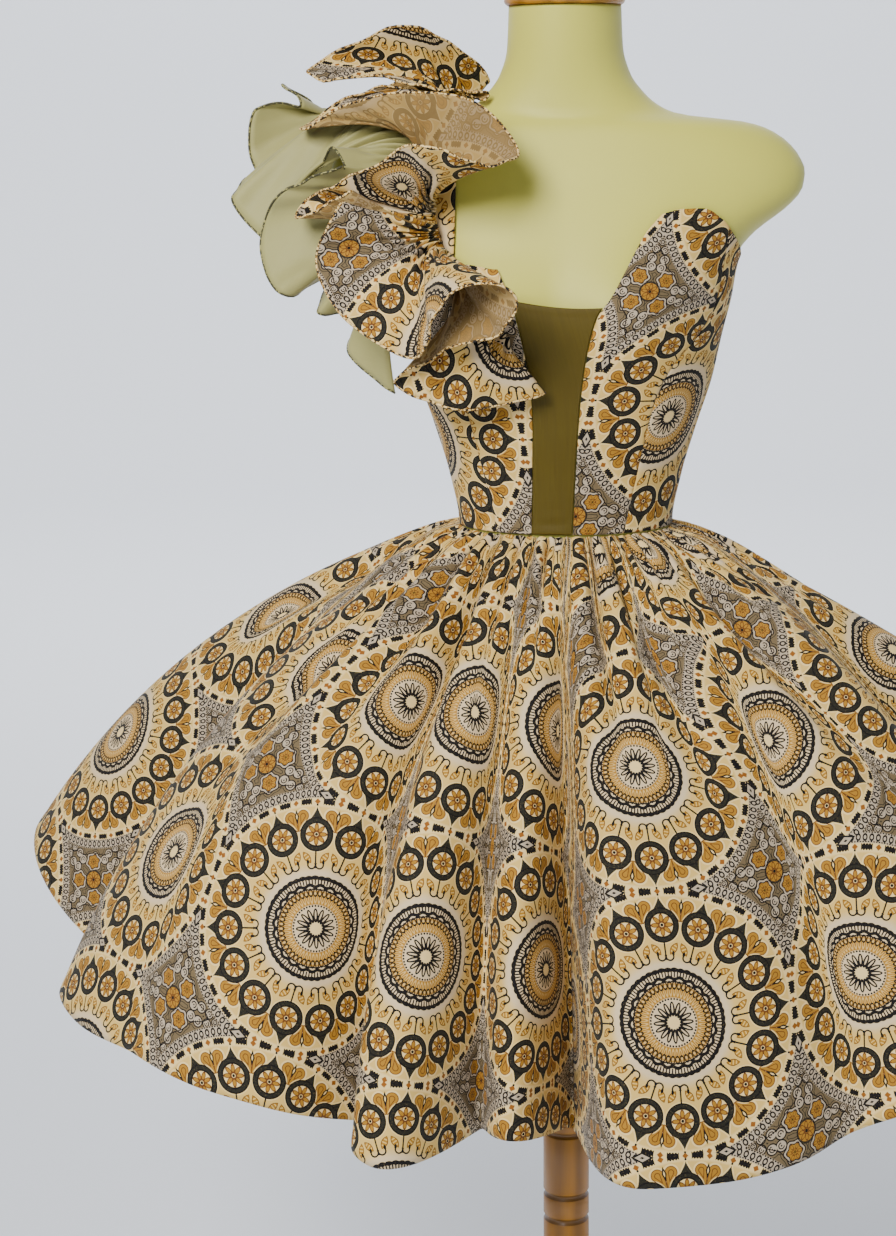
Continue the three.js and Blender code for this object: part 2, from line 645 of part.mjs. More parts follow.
// The middle of the skirt's cloth at a turn, a share of the way from the waist to the hem.
function skirtPoint(turn, share) {
  let bottomLean = 0;
  let sunk = 0;
  for (const { turn: centre, deep, wide, lean, from } of VALLEYS) {
    const profile = Math.exp(-(Math.abs(wrap(turn - centre) / wide) ** 1.8));
    const opened = smooth((share - from) / (1.15 - from)) ** 0.8;
    sunk += deep * profile * opened;
    bottomLean += lean * profile * opened;
  }
  for (const { turn: start, drift, deep, wide, until } of PLEATS) {
    const profile = Math.exp(-((wrap(turn - start - drift * share) / wide) ** 2));
    sunk += deep * profile * smooth(share / 0.22) * smooth((until - share) / (until - 0.1));
  }
  const outward = new THREE.Vector3(Math.sin(turn * RAD), -Math.cos(turn * RAD), 0);
  const start = formPoint(turn, 0, CLOTH_OUT);
  const span = outward.clone().multiplyScalar(crest.reach(wrap(turn))).sub(start).setZ(0);
  const arch = SKIRT_ARCH * RAD;
  const run = span.length();
  const length = crest.length(wrap(turn));
  const chord = (length * Math.sin(arch)) / arch;
  const slope = Math.acos(run / chord); // of the chord, below level
  const bend = slope - arch + 2 * arch * share; // of the cloth here
  const radius = length / (2 * arch);
  const out = radius * (Math.sin(bend) - Math.sin(slope - arch)) - sunk * Math.sin(bend);
  const down = radius * (Math.cos(slope - arch) - Math.cos(bend)) + sunk * Math.cos(bend);
  const point = start.clone().addScaledVector(span, out / run);
  const leaning = bottomLean * RAD;
  return new THREE.Vector3(
    point.x * Math.cos(leaning) - point.y * Math.sin(leaning),
    point.x * Math.sin(leaning) + point.y * Math.cos(leaning),
    WAIST_Z + SKIRT_TOP - down,
  );
}

const SKIRT_PANELS = [
  { name: "skirt_front_right", from: -86, to: 3, columns: 28 },
  { name: "skirt_front_left", from: 3, to: 108, columns: 29 },
  { name: "skirt_back_left", from: 108, to: 192, columns: 21 },
  { name: "skirt_back_right", from: 192, to: 274, columns: 21 },
];
const SKIRT_ROWS = 8;
const SEAM_RADIUS = { waist: 100, hem: 400 }; // roughly, for turning the gap at a seam into degrees
const CROWDING = 1.5; // how many more columns a fold gets than cloth that lies smooth

// Turns over a panel, crowded where the cloth folds: read at a share of the panel's width.
function foldedTurns(from, to) {
  const steps = Math.round(to - from);
  let sum = 0;
  const rows = [];
  for (let k = 0; k <= steps; k++) {
    const turn = lerp(from, to, k / steps);
    rows.push({ sum, turn });
    for (const fold of [...VALLEYS, ...PLEATS]) {
      sum += CROWDING * Math.exp(-((wrap(turn - fold.turn) / fold.wide) ** 2));
    }
    sum += 1;
  }
  const at = reader(rows, "sum", "turn");
  return (share) => at(share * rows[steps].sum);
}

for (const { name, from, to, columns } of SKIRT_PANELS) {
  const turnOf = foldedTurns(from, to);
  const panel = clothWall(columns, SKIRT_ROWS, (a, b) => {
    const share = 1 - b; // the grid runs from the hem up to the waist
    const half = SEAM_GAP / 2 / lerp(SEAM_RADIUS.waist, SEAM_RADIUS.hem, share) / RAD;
    const across = (turnOf(a) - from) / (to - from);
    return skirtPoint(lerp(from + half, to - half, across), share);
  });
  add(name, panel, PRINT);
}

export default dress;
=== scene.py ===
import math
from functools import partialmethod

import bmesh
import bpy
import numpy as np
from bpy.props import FloatProperty, FloatVectorProperty, IntProperty, PointerProperty
from mathutils import Matrix, Vector


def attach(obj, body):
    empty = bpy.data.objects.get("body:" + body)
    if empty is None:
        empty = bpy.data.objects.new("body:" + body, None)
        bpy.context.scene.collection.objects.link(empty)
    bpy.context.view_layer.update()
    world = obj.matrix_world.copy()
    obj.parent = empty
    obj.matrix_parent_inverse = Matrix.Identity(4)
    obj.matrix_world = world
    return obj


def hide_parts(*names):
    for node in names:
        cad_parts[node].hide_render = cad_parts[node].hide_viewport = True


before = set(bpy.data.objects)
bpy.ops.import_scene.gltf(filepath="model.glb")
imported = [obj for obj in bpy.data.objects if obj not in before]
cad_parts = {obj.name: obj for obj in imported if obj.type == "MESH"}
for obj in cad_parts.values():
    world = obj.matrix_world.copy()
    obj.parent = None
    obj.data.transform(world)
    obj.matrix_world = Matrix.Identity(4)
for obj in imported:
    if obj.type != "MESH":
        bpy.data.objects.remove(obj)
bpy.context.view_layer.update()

bl_info = {
    "name": "Shweshwe dress on a dress form",
    "version": (1, 0, 0),
    "blender": (4, 5, 0),
    "location": "3D View > Sidebar > Dress",
    "description": "A one-shoulder printed cotton dress with ruffles and a full skirt, on a dress form",
    "category": "Add Mesh",
}

MM = 0.001
RAD = math.pi / 180
SEED = 7

# ---- Driving dimensions, in millimetres and degrees ---------------------------------------------------
WAIST_Z = 1020
FORM_FOOT, FORM_TOP = -215, 500  # over the waist
CLOTH = 1.6  # the walls of the solids, which the thinner cloth here lies in the middle of
SEAM_GAP = 0.3
FORM_CLEAR = 3
CLOTH_OUT = FORM_CLEAR + CLOTH / 2
SKIRT_ARCH = 20
SIDE_TURN = 90
POLE_R = 24
BASE_R = 195
BASE_THICK = 30
HUB_TALL = 26
NECK_AHEAD = 6
PITCH = 235  # from one printed medallion to the next
SECTORS = 16  # circles round a medallion


# ---- Sizes and colours that a user would change --------------------------------------------------------
def length_property(name, description, default):
    return FloatProperty(
        name=name, description=description, default=default, subtype="DISTANCE", unit="LENGTH"
    )


def colour_property(name, description, default):
    return FloatVectorProperty(
        name=name, description=description, default=default, size=3, min=0, max=1, subtype="COLOR"
    )


class DressSizes(bpy.types.PropertyGroup):
    cloth: length_property("Cloth", "Thickness of the printed cotton as it shows at an edge", 1.1 * MM)
    ruffle_cloth: length_property("Ruffle cloth", "Thickness of a ruffle's cloth", 1.2 * MM)
    gather_depth: length_property("Gather depth", "How deep the gathers at the waist are", 5.0 * MM)
    gathers: IntProperty(name="Gathers", description="Small gathers round the waist", default=66)


class DressColours(bpy.types.PropertyGroup):
    cream: colour_property("Cream", "Discs and outlines of the print", (0.84, 0.61, 0.25))
    straw: colour_property("Straw", "Ground of the medallions", (0.70, 0.46, 0.125))
    pale: colour_property("Pale", "Ground round the chain ring", (0.68, 0.52, 0.30))
    gold: colour_property("Gold", "Hearts, leaves and flowers", (0.38, 0.18, 0.014))
    rust: colour_property("Rust", "Dots of the outer band", (0.26, 0.085, 0.008))
    amber: colour_property("Amber", "Outlines of what is gold", (0.13, 0.040, 0.006))
    black: colour_property("Black", "Lines of the print", (0.004, 0.0025, 0.002))
    slate: colour_property("Slate", "Hatched rings round the discs", (0.017, 0.015, 0.008))
    stone: colour_property("Stone", "Ground of the stars between medallions", (0.15, 0.105, 0.05))
    lilac: colour_property("Lilac", "Pale curls in the stars", (0.45, 0.36, 0.25))
    reverse: colour_property("Reverse", "Reverse side of the printed cotton", (0.26, 0.16, 0.05))
    olive: colour_property("Olive", "Plain ruffle", (0.36, 0.33, 0.115))
    net: colour_property("Net", "Net in the plunge", (0.074, 0.050, 0.001))
    jersey: colour_property("Jersey", "Cover of the dress form", (0.57, 0.535, 0.08))
    wood: colour_property("Wood", "Turned wood", (0.37, 0.15, 0.004))
    floor: colour_property("Floor", "Floor and backdrop", (0.80, 0.83, 0.88))


# ---- Reading tables ------------------------------------------------------------------------------------
def table(columns, *rows):
    """Columns of a table by name."""
    return {name: np.array([row[i] for row in rows], float) for i, name in enumerate(columns.split())}


def smooth(t):
    c = np.clip(t, 0, 1)
    return c * c * (3 - 2 * c)


def lerp(a, b, t):
    return a + (b - a) * t


def reader(rows, key, column):
    """A smooth curve without overshoot through one column of a table, read at a value of its key."""
    xs, ys = rows[key], rows[column]
    slopes = np.diff(ys) / np.diff(xs)
    before = np.concatenate([slopes[:1], slopes])
    after = np.concatenate([slopes, slopes[-1:]])
    product = before * after
    total = np.where(product > 0, before + after, 1)
    tangents = np.where(product > 0, 2 * product / total, 0)

    def read(at):
        x = np.clip(at, xs[0], xs[-1])
        i = np.clip(np.searchsorted(xs, x, side="right") - 1, 0, len(xs) - 2)
        span = xs[i + 1] - xs[i]
        t = (x - xs[i]) / span
        rise = span * (t * (1 - t) ** 2 * tangents[i] - t * t * (1 - t) * tangents[i + 1])
        return lerp(ys[i], ys[i + 1], smooth(t)) + rise

    return read


def wrap(turn):
    return (turn + 180) % 360 - 180


def points(x, y, z):
    return np.stack(np.broadcast_arrays(x, y, z), axis=-1).astype(float)


def unit(vectors):
    return vectors / np.maximum(np.linalg.norm(vectors, axis=-1, keepdims=True), 1e-9)


def signed_power(v, p):
    return np.sign(v) * np.abs(v) ** p


# ---- The form's shape ----------------------------------------------------------------------------------
FORM_SECTIONS = table(
    "up half front back square",
    (-215, 148, 98, 116, 2.2),
    (-180, 157, 105, 125, 2.2),
    (-120, 150, 104, 121, 2.2),
    (-60, 125, 94, 103, 2.1),
    (0, 102, 84, 86, 2.1),
    (50, 111, 90, 87, 2.1),
    (98, 125, 100, 91, 2.2),
    (145, 140, 106, 95, 2.3),
    (186, 149, 109, 98, 2.3),
    (223, 158, 107, 101, 2.3),
    (252, 163, 101, 103, 2.3),
    (266, 168, 97, 103, 2.3),
    (277, 176, 94, 102, 2.3),
    (288, 187, 91, 101, 2.3),
    (299, 202, 88, 99, 2.3),
    (312, 218, 84, 96, 2.3),
    (327, 229, 79, 92, 2.3),
    (342, 231, 75, 88, 2.3),
    (357, 225, 70, 82, 2.3),
    (371, 213, 65, 76, 2.3),
    (382, 196, 61, 70, 2.3),
    (388, 179, 58, 66, 2.3),
    (391.5, 160, 56, 62, 2.2),
    (394, 134, 54, 59, 2.1),
    (398, 108, 53, 57, 2),
    (406, 90, 52, 56, 2),
    (418, 76, 52, 54, 2),
    (436, 63, 53, 52, 2),
    (460, 56, 55, 49, 2),
    (500, 54, 58, 46, 2),
)
BUST = {"up": 205, "side": 78, "proud": 24, "wide": 54, "tall": 56}
form_half, form_front, form_back, form_square = (
    reader(FORM_SECTIONS, "up", column) for column in ("half", "front", "back", "square")
)


def bust_at(x, up):
    across = ((np.abs(x) - BUST["side"]) / BUST["wide"]) ** 2
    return BUST["proud"] * np.exp(-across - ((up - BUST["up"]) / BUST["tall"]) ** 2)


def form_point(turn, up, out=0.0):
    """A point on the form at a turn from centre front towards the wearer's left, moved out."""
    power = 2 / form_square(up)
    x = (form_half(up) + out) * signed_power(np.sin(turn * RAD), power)
    depth = np.where(np.cos(turn * RAD) > 0, form_front(up) + bust_at(x, up), form_back(up))
    y = -(depth + out) * signed_power(np.cos(turn * RAD), power)
    return points(x, y, WAIST_Z + up)


def turn_at(x, up, out=0.0):
    """The turn at which the front of the form, moved out, is at a given x."""
    share = np.clip(np.abs(x) / (form_half(up) + out), 0, 1)
    return np.sign(x) * np.arcsin(share ** (form_square(up) / 2)) / RAD


def form_field(x, y, up):
    n = form_square(up)
    depth = np.where(y < 0, form_front(up) + bust_at(x, up), form_back(up))
    return (np.abs(x) / form_half(up)) ** n + (np.abs(y) / depth) ** n - 1


RAY_UP = 254
RAY_LONG = 320
HALVINGS = 30
FIELD_STEP = 1.5


def slice_point(x, angle, out, ray_up=RAY_UP):
    """Where a ray in the upright slice at x leaves the form, moved out along the form's normal."""
    ahead, rise = np.cos(angle * RAD), np.sin(angle * RAD)
    inside = np.zeros(np.broadcast(x, angle).shape)
    outside = inside + RAY_LONG
    for _ in range(HALVINGS):
        r = (inside + outside) / 2
        within = form_field(x, -r * ahead, ray_up + r * rise) < 0
        inside, outside = np.where(within, r, inside), np.where(within, outside, r)
    y, up = -inside * ahead, ray_up + inside * rise
    slope = [
        form_field(x + dx, y + dy, up + dz) - form_field(x - dx, y - dy, up - dz)
        for dx, dy, dz in FIELD_STEP * np.eye(3)
    ]
    normal = unit(points(*slope))
    return points(x, y, WAIST_Z + up) + normal * np.asarray(out)[..., None], normal


# ---- Materials: nodes written as expressions -------------------------------------------------------------
class Nodes:
    """Makes the nodes of one material or group."""

    def __init__(self, tree):
        self.tree = tree

    def add(self, kind, settings=None, sockets=None):
        """A node of a kind, its settings made first, then the values or links of its sockets."""
        made = self.tree.nodes.new(kind)
        for name, value in (settings or {}).items():
            if name == "stops":
                self.set_stops(made.color_ramp, value)
            else:
                setattr(made, name, value)
        for name, value in (sockets or {}).items():
            if isinstance(value, Value):
                self.tree.links.new(value.socket, made.inputs[name])
            elif isinstance(value, bpy.types.NodeSocket):
                self.tree.links.new(value, made.inputs[name])
            else:
                made.inputs[name].default_value = value
        return made

    @staticmethod
    def set_stops(ramp, stops):
        while len(ramp.elements) < len(stops):
            ramp.elements.new(1)
        for element, (position, colour) in zip(ramp.elements, stops):
            element.position = position
            element.color = (*colour, 1)

    def value(self, socket):
        return Value(self, socket)

    def split(self, place):
        parts = self.add("ShaderNodeSeparateXYZ", None, {0: place}).outputs
        return [self.value(part) for part in parts]

    def uv(self, name="cloth"):
        """The place on the flat cloth in millimetres."""
        across, along, _ = self.split(self.add("ShaderNodeUVMap", {"uv_map": name}).outputs[0])
        return across / MM, along / MM

    def in_object(self):
        """The place in the object in metres."""
        return self.add("ShaderNodeTexCoord").outputs["Object"]

    def noise(self, place, scale, detail=2.0, roughness=0.5):
        sockets = {"Vector": place, "Scale": scale, "Detail": detail, "Roughness": roughness}
        return self.value(self.add("ShaderNodeTexNoise", None, sockets).outputs["Fac"])

    def place(self, x, y, z=0.0):
        return self.add("ShaderNodeCombineXYZ", None, {0: x, 1: y, 2: z}).outputs[0]

    def mix(self, under, over, mask):
        """Colour `over` painted on colour `under` where the mask is 1."""
        sockets = {0: mask, 6: self.colour(under), 7: self.colour(over)}
        return self.add("ShaderNodeMix", {"data_type": "RGBA"}, sockets).outputs[2]

    @staticmethod
    def colour(value):
        return value if isinstance(value, bpy.types.NodeSocket) else (*value, 1)

    def bump(self, height, distance, strength=1.0, under=None):
        sockets = {"Height": height, "Distance": distance, "Strength": strength}
        if under is not None:
            sockets["Normal"] = under
        return self.add("ShaderNodeBump", None, sockets).outputs[0]


class Value:
    """A number on its way through a material: arithmetic on it adds Math nodes."""

    def __init__(self, nodes, socket):
        self.nodes = nodes
        self.socket = socket

    def math(self, operation, *others, clamp=False):
        sockets = dict(enumerate((self, *others)))
        made = self.nodes.add("ShaderNodeMath", {"operation": operation, "use_clamp": clamp}, sockets)
        return Value(self.nodes, made.outputs[0])

    def reflected(self, operation, other):
        made = self.nodes.add("ShaderNodeMath", {"operation": operation}, {0: other, 1: self})
        return Value(self.nodes, made.outputs[0])

    def __rsub__(self, other):
        return self.reflected("SUBTRACT", other)

    __add__ = __radd__ = partialmethod(math, "ADD")
    __sub__ = partialmethod(math, "SUBTRACT")
    __mul__ = __rmul__ = partialmethod(math, "MULTIPLY")
    __truediv__ = partialmethod(math, "DIVIDE")
    __pow__ = partialmethod(math, "POWER")
    __abs__ = partialmethod(math, "ABSOLUTE")
    above = partialmethod(math, "GREATER_THAN")
    below = partialmethod(math, "LESS_THAN")
    near = partialmethod(math, "COMPARE")  # near(middle, half) is 1 within half of the middle
    least = partialmethod(math, "MINIMUM")
    sqrt = partialmethod(math, "SQRT")
    cos = partialmethod(math, "COSINE")
    sin = partialmethod(math, "SINE")
    atan2 = partialmethod(math, "ARCTAN2")

    def wrap(self, half):
        return self.math("WRAP", half, -half)

    def either(self, *others):
        result = self
        for other in others:
            result = result.math("MAXIMUM", other)
        return result

    def clamped(self):
        return self.math("ADD", 0.0, clamp=True)


def oval(x, y, shape):
    """Below 1 inside an oval. Its shape is how far along x its middle is, and half its length and width."""
    out, half_long, half_wide = shape
    a, b = (x - out) * (1 / half_long), y * (1 / half_wide)
    return a * a + b * b


def reach(x, y):
    return (x * x + y * y).sqrt()


# ---- The print -------------------------------------------------------------------------------------------
# Sizes are in millimetres on the flat cloth. Out is away from a medallion's middle, and aside is round it.
SECTOR = math.tau / SECTORS
GROUND = (  # the ground's colour at each radius, blended in between
    (0.0, "cream"), (5.2, "cream"), (5.8, "pale"), (21.8, "pale"), (22.6, "gold"),
    (34.5, "gold"), (36, "pale"), (52, "pale"), (60, "straw"), (112, "straw"),
    (114, "cream"), (120.5, "cream"), (121.2, "lilac"), (130.6, "lilac"), (131.4, "stone"),
)
GROUND_END = 170
STAR_FROM = 131.4
# Ovals, each with how far out its middle is, half its length and half its width.
GRAIN = (28.5, 5.0, 1.2)
DAISY, DAISY_HOLLOW = (12.2, 6.6, 2.3), (12.9, 4.2, 0.75)
DOT, LOOP = (21, 0.95, 0.95), (33.2, 3.6, 1.9)
KNOB, KNOB_ASIDE = (61, 2.4, 1.2), 7.2
PETAL = (6.2, 3.6, 1.9)
TIP_DOT = (114.4, 1.05, 1.05)
LINK = (126, 2.9, 2.1)
STAR_PETAL, ROSETTE_PETAL = (5.4, 3.2, 1.6), (4.6, 2.4, 1.4)
LEAF = {"out": 65.6, "aside": 4.7, "lean": 0.46, "long_squared": 40, "wide": 2.9, "rungs": 2.1}
HEART = {"out": 91.5, "aside": 0.8, "lean": -0.40, "long": 14.0, "round": 4.7}
HEART_LINES = {"rim": 3.0, "gold": 0.9, "vein": -2.2}  # outwards from the heart's own outline
DROP = {"out": 87, "neck": 91, "tip": 113, "taper": 21, "wide": 13.6}
DROP_RADII = {"disc": 10.5, "slate": 15.7, "rim": 16.9}
BAND_OUT = 117.6
BEAD_HALF = 5.6
CHAIN_SWAYS, CHAIN_RUNGS = 24, 96  # how often each comes round a medallion
CHAIN_STRANDS = ((39.4, 1.6, -0.9), (46.8, 1.4, 0.9), (46.8, 1.2, -0.9), (36.3, 0.75, 0.6))  # out, half, sway
CHAIN_LADDER = (43.1, 2.6)  # out, half
STEM_OUT, STEM_HALF = (64, 8.5), 0.75
HOOK = {"out": 58.6, "aside": 3.7, "radius": 3.5, "ends": 60.2}
LOZENGE = {"out": 104.6, "long": 7, "wide": 2.3}
DISC_RIMS = ((11.0, 0.8), (15.3, 0.7))  # radius, half
DASH_RINGS = ((122, 0.6), (130.4, 0.6))
LINKS, DASHES = 240, 288
CURLS = ((27, 5.4, 5.2), (36, 6.6, 5.0), (46, 4.6, 4.2), (54, 0, 3.4))  # along a star's arm, aside, radius
STAR_CLOUD, STAR_RIM, STAR_BLOOM, STAR_EYE = 10.6, 9.5, 9.4, 1.6
ROSETTE_RIM, ROSETTE_BLOOM, ROSETTE_EYE = 7.7, 7.6, 1.2
STAR_WAVES = {"out": 137.4, "high": 1.1, "count": 32}
ROSETTE_PLACE = 14.4
KITE = {"along": 78.5, "long": 10, "wide": 5.2}


class Spot:
    """Where a point of the cloth is in its medallion, and in its share of the medallion's circles."""

    def __init__(self, nodes, u, v):
        self.u, self.v = u, v
        x, y = u.wrap(PITCH / 2), v.wrap(PITCH / 2)
        self.r, self.turn = reach(x, y), y.atan2(x)
        self.sector = self.turn.wrap(SECTOR / 2)
        self.along, self.across = self.r * self.sector.cos(), abs(self.r * self.sector.sin())
        edge = SECTOR / 2 - abs(self.sector)
        self.out, self.aside = self.r * edge.cos(), self.r * edge.sin()
        self.third = self.r * self.sector.wrap(SECTOR / 6)
        self.past_disc = self.along - DROP["out"]
        self.disc = reach(self.past_disc, self.across)
        self.mottle = nodes.noise(nodes.place(u, v), 0.55, 3.0, 0.7)


def leaned(x, y, lean):
    """A place measured along and across a line, where lean is the sine of the line's angle."""
    level = math.sqrt(1 - lean * lean)
    return x * level - y * lean, x * lean + y * level


def ground_colour(nodes, spot, dye):
    stops = [(radius / GROUND_END, getattr(dye, name)) for radius, name in GROUND]
    ramp = nodes.add("ShaderNodeValToRGB", {"stops": stops}, {0: spot.r * (1 / GROUND_END)})
    grain = oval(spot.r, spot.third, GRAIN).near(0.8, 0.4)
    return nodes.mix(ramp.outputs[0], dye.cream, grain * 0.55)


def add_leaves(nodes, spot, dye, colour):
    """Pairs of leaves filled with rungs. Gives the colour and the leaves' outlines."""
    along, across = leaned(spot.out - LEAF["out"], spot.aside - LEAF["aside"], LEAF["lean"])
    leaf = along * along * (1 / LEAF["long_squared"]) + abs(across) * (1 / LEAF["wide"])
    colour = nodes.mix(colour, dye.gold, leaf.below(1))
    rungs = leaf.below(0.75) * (along * LEAF["rungs"]).cos().above(0.35)
    return nodes.mix(colour, dye.straw, rungs), leaf.near(0.94, 0.14)


def add_hearts(nodes, spot, dye, colour):
    """A leaning drop, which its mirror image makes a heart. Gives the colour and the hearts' lines."""
    along, across = leaned(spot.out - HEART["out"], spot.aside - HEART["aside"], HEART["lean"])
    filled = (along * (1 / HEART["long"])).clamped()
    heart = reach(along - filled * HEART["long"], across) - filled * HEART["round"]
    colour = nodes.mix(colour, dye.cream, heart.below(HEART_LINES["rim"]))
    colour = nodes.mix(colour, dye.gold, heart.below(HEART_LINES["gold"]))
    return colour, heart.near(HEART_LINES["gold"], 0.4).either(heart.near(HEART_LINES["vein"], 0.4))


def add_teardrops(nodes, spot, dye, colour):
    """Slate teardrops round cream discs with a flower. Gives the colour and the flowers' lines."""
    along, disc = spot.along, spot.disc
    tip = ((DROP["tip"] - along) * (1 / DROP["taper"])).clamped() ** 1.35 * DROP["wide"]
    neck = along.above(DROP["neck"])
    spur = spot.across - tip
    drop = disc.below(DROP_RADII["slate"]).either(neck * spur.below(0) * along.below(DROP["tip"]))
    outline = disc.below(DROP_RADII["rim"]).either(neck * spur.below(1.5) * along.below(DROP["tip"] + 0.5))
    colour = nodes.mix(colour, dye.cream, outline)
    colour = nodes.mix(colour, nodes.mix(dye.black, dye.slate, spot.mottle.above(0.42)), drop)
    colour = nodes.mix(colour, dye.cream, disc.below(DROP_RADII["disc"]))
    turn = spot.across.atan2(spot.past_disc).wrap(math.pi / 8)
    petal = oval(disc * turn.cos(), disc * turn.sin(), PETAL)
    colour = nodes.mix(colour, dye.gold, petal.below(1))
    return colour, petal.near(0.95, 0.35).either(disc.near(2.4, 0.5))


def middle_lines(spot):
    """Black lines inside the ring of teardrops: daisy, dots, loops, chain and hooked stems."""
    r, along, across, third = spot.r, spot.along, spot.across, spot.third
    daisy = oval(along, across, DAISY).below(1) * oval(along, across, DAISY_HOLLOW).above(1)
    dots = oval(r, third, DOT).below(1)
    loops = oval(r, third, LOOP).near(0.86, 0.42)
    sway = (spot.turn * CHAIN_SWAYS).cos()
    strands = [(r + sway * swing).near(out, half) for out, half, swing in CHAIN_STRANDS]
    rungs = r.near(*CHAIN_LADDER) * (spot.turn * CHAIN_RUNGS).cos().above(0.1)
    stem = across.below(STEM_HALF) * along.near(*STEM_OUT)
    bend = reach(along - HOOK["out"], across - HOOK["aside"])
    hook = bend.near(HOOK["radius"], STEM_HALF) * along.below(HOOK["ends"])
    knob = oval(along, across - KNOB_ASIDE, KNOB).below(1)
    return daisy.either(dots, loops, *strands, rungs, stem, hook, knob)


def outer_lines(spot):
    """Black lines from the teardrops outwards: lozenges, rims, beads, dashes and a chain of small links."""
    r, disc = spot.r, spot.disc
    lozenge = abs(spot.out - LOZENGE["out"]) * (1 / LOZENGE["long"]) + spot.aside * (1 / LOZENGE["wide"])
    rims = disc.below(1.4).either(*(disc.near(*ring) for ring in DISC_RIMS))
    tips = oval(spot.along, spot.across, TIP_DOT).below(1)
    bead = (spot.sector - SECTOR / 4).wrap(SECTOR / 4) * BAND_OUT
    hump = abs((bead * (math.pi / (BEAD_HALF / 2))).cos()) * 1.3 + 1.5
    beads = abs(bead).below(BEAD_HALF) * (hump + 0.4 - abs(r - BAND_OUT)).above(0)
    around = spot.turn.wrap(math.tau / LINKS) * LINK[0]
    link = oval(r, around, LINK).near(0.9, 0.55)
    first, second = (r.near(*ring) for ring in DASH_RINGS)
    dashes = (spot.turn * DASHES).cos().above(-0.4) * first.either(second)
    return (lozenge.below(1) * lozenge.above(0.42)).either(rims, tips, beads, link, dashes)


def add_stars(nodes, spot, dye, colour, black):
    """The stars between medallions, and all black lines with them."""
    mix = nodes.mix
    x, y = abs((spot.u + PITCH / 2).wrap(PITCH / 2)), abs((spot.v + PITCH / 2).wrap(PITCH / 2))
    star = reach(x, y)
    inside = spot.r.above(STAR_FROM)
    point, side = x.either(y), x.least(y)
    rosette_x, rosette_y = x - ROSETTE_PLACE, y - ROSETTE_PLACE
    rosette = reach(rosette_x, rosette_y) - (rosette_y.atan2(rosette_x) * 6).cos() * 0.9
    cloud = rosette - STAR_CLOUD
    spiral = star.near(STAR_CLOUD, 0.5)
    for along, aside, radius in CURLS:
        curl = reach(point - along, side - aside)
        cloud = cloud.least(curl - radius)
        ring = curl.near(radius * 0.52, 0.55) * (point - along + side - aside).above(-radius * 0.45)
        spiral = spiral.either(ring, curl.below(radius * 0.16))
    colour = mix(colour, dye.lilac, cloud.below(0) * inside)
    colour = mix(colour, dye.slate, cloud.near(2.6, 0.35) * inside)
    bloom = star.below(STAR_BLOOM).either(rosette.below(ROSETTE_BLOOM))
    colour = mix(colour, dye.gold, bloom * inside)
    turn = y.atan2(x).wrap(math.pi / 8)
    petal = oval(star * turn.cos(), star * turn.sin(), STAR_PETAL)
    rosette_turn = rosette_y.atan2(rosette_x).wrap(math.pi / 6)
    rosette_petal = oval(rosette * rosette_turn.cos(), rosette * rosette_turn.sin(), ROSETTE_PETAL)
    lines = petal.near(0.95, 0.4).either(rosette_petal.near(0.95, 0.4))
    colour = mix(colour, dye.amber, lines * bloom * inside)
    wave = (spot.turn * STAR_WAVES["count"]).cos() * STAR_WAVES["high"]
    rims = rosette.near(ROSETTE_RIM, 0.55).either(star.near(STAR_RIM, 0.4))
    scroll = cloud.near(0, 0.6).either(spiral, rims) * star.above(9.2)
    eyes = star.below(STAR_EYE).either(rosette.below(ROSETTE_EYE))
    scroll = scroll.either(eyes, (spot.r + wave).near(STAR_WAVES["out"], 0.5))
    kite = abs(point - KITE["along"]) * (1 / KITE["long"]) + side * (1 / KITE["wide"])
    colour = mix(colour, dye.lilac, kite.below(1))
    black = black * kite.above(1)
    return mix(colour, dye.black, black.either(scroll * inside, kite.near(0.86, 0.17), kite.below(0.22)))


def print_colour(nodes, u, v, dye):
    """The medallion repeat at a place on the flat cloth, and how unevenly the dye has sunk in there."""
    spot = Spot(nodes, u, v)
    colour = ground_colour(nodes, spot, dye)
    colour, leaf_lines = add_leaves(nodes, spot, dye, colour)
    colour, heart_lines = add_hearts(nodes, spot, dye, colour)
    colour, flower_lines = add_teardrops(nodes, spot, dye, colour)
    dot = abs(spot.r - BAND_OUT) + abs(spot.sector.wrap(SECTOR / 4) * BAND_OUT)
    colour = nodes.mix(colour, dye.amber, leaf_lines.either(heart_lines, flower_lines))
    colour = nodes.mix(colour, dye.rust, dot.below(3.0))
    colour = add_stars(nodes, spot, dye, colour, middle_lines(spot).either(outer_lines(spot)))
    return nodes.mix(colour, dye.straw, spot.mottle.above(0.62) * 0.10), spot.mottle


def print_group(dye):
    """The print as one node group, so that both sides of the cloth share it."""
    tree = bpy.data.node_groups.get("Medallion print")
    if tree is None:
        tree = bpy.data.node_groups.new("Medallion print", "ShaderNodeTree")
        tree.interface.new_socket("Colour", in_out="OUTPUT", socket_type="NodeSocketColor")
        tree.interface.new_socket("Mottle", in_out="OUTPUT", socket_type="NodeSocketFloat")
        nodes = Nodes(tree)
        u, v = nodes.uv()
        colour, mottle = print_colour(nodes, u, v, dye)
        nodes.add("NodeGroupOutput", None, {0: colour, 1: mottle})
    return tree


# ---- Materials -------------------------------------------------------------------------------------------
def new_material(name, constants):
    """A material, the maker of its nodes and its shader, whose sockets take the constants directly."""
    material = bpy.data.materials.new(name)
    material.use_nodes = True
    shader = material.node_tree.nodes["Principled BSDF"]
    for socket, value in constants.items():
        shader.inputs[socket].default_value = value
    return material, Nodes(material.node_tree), shader


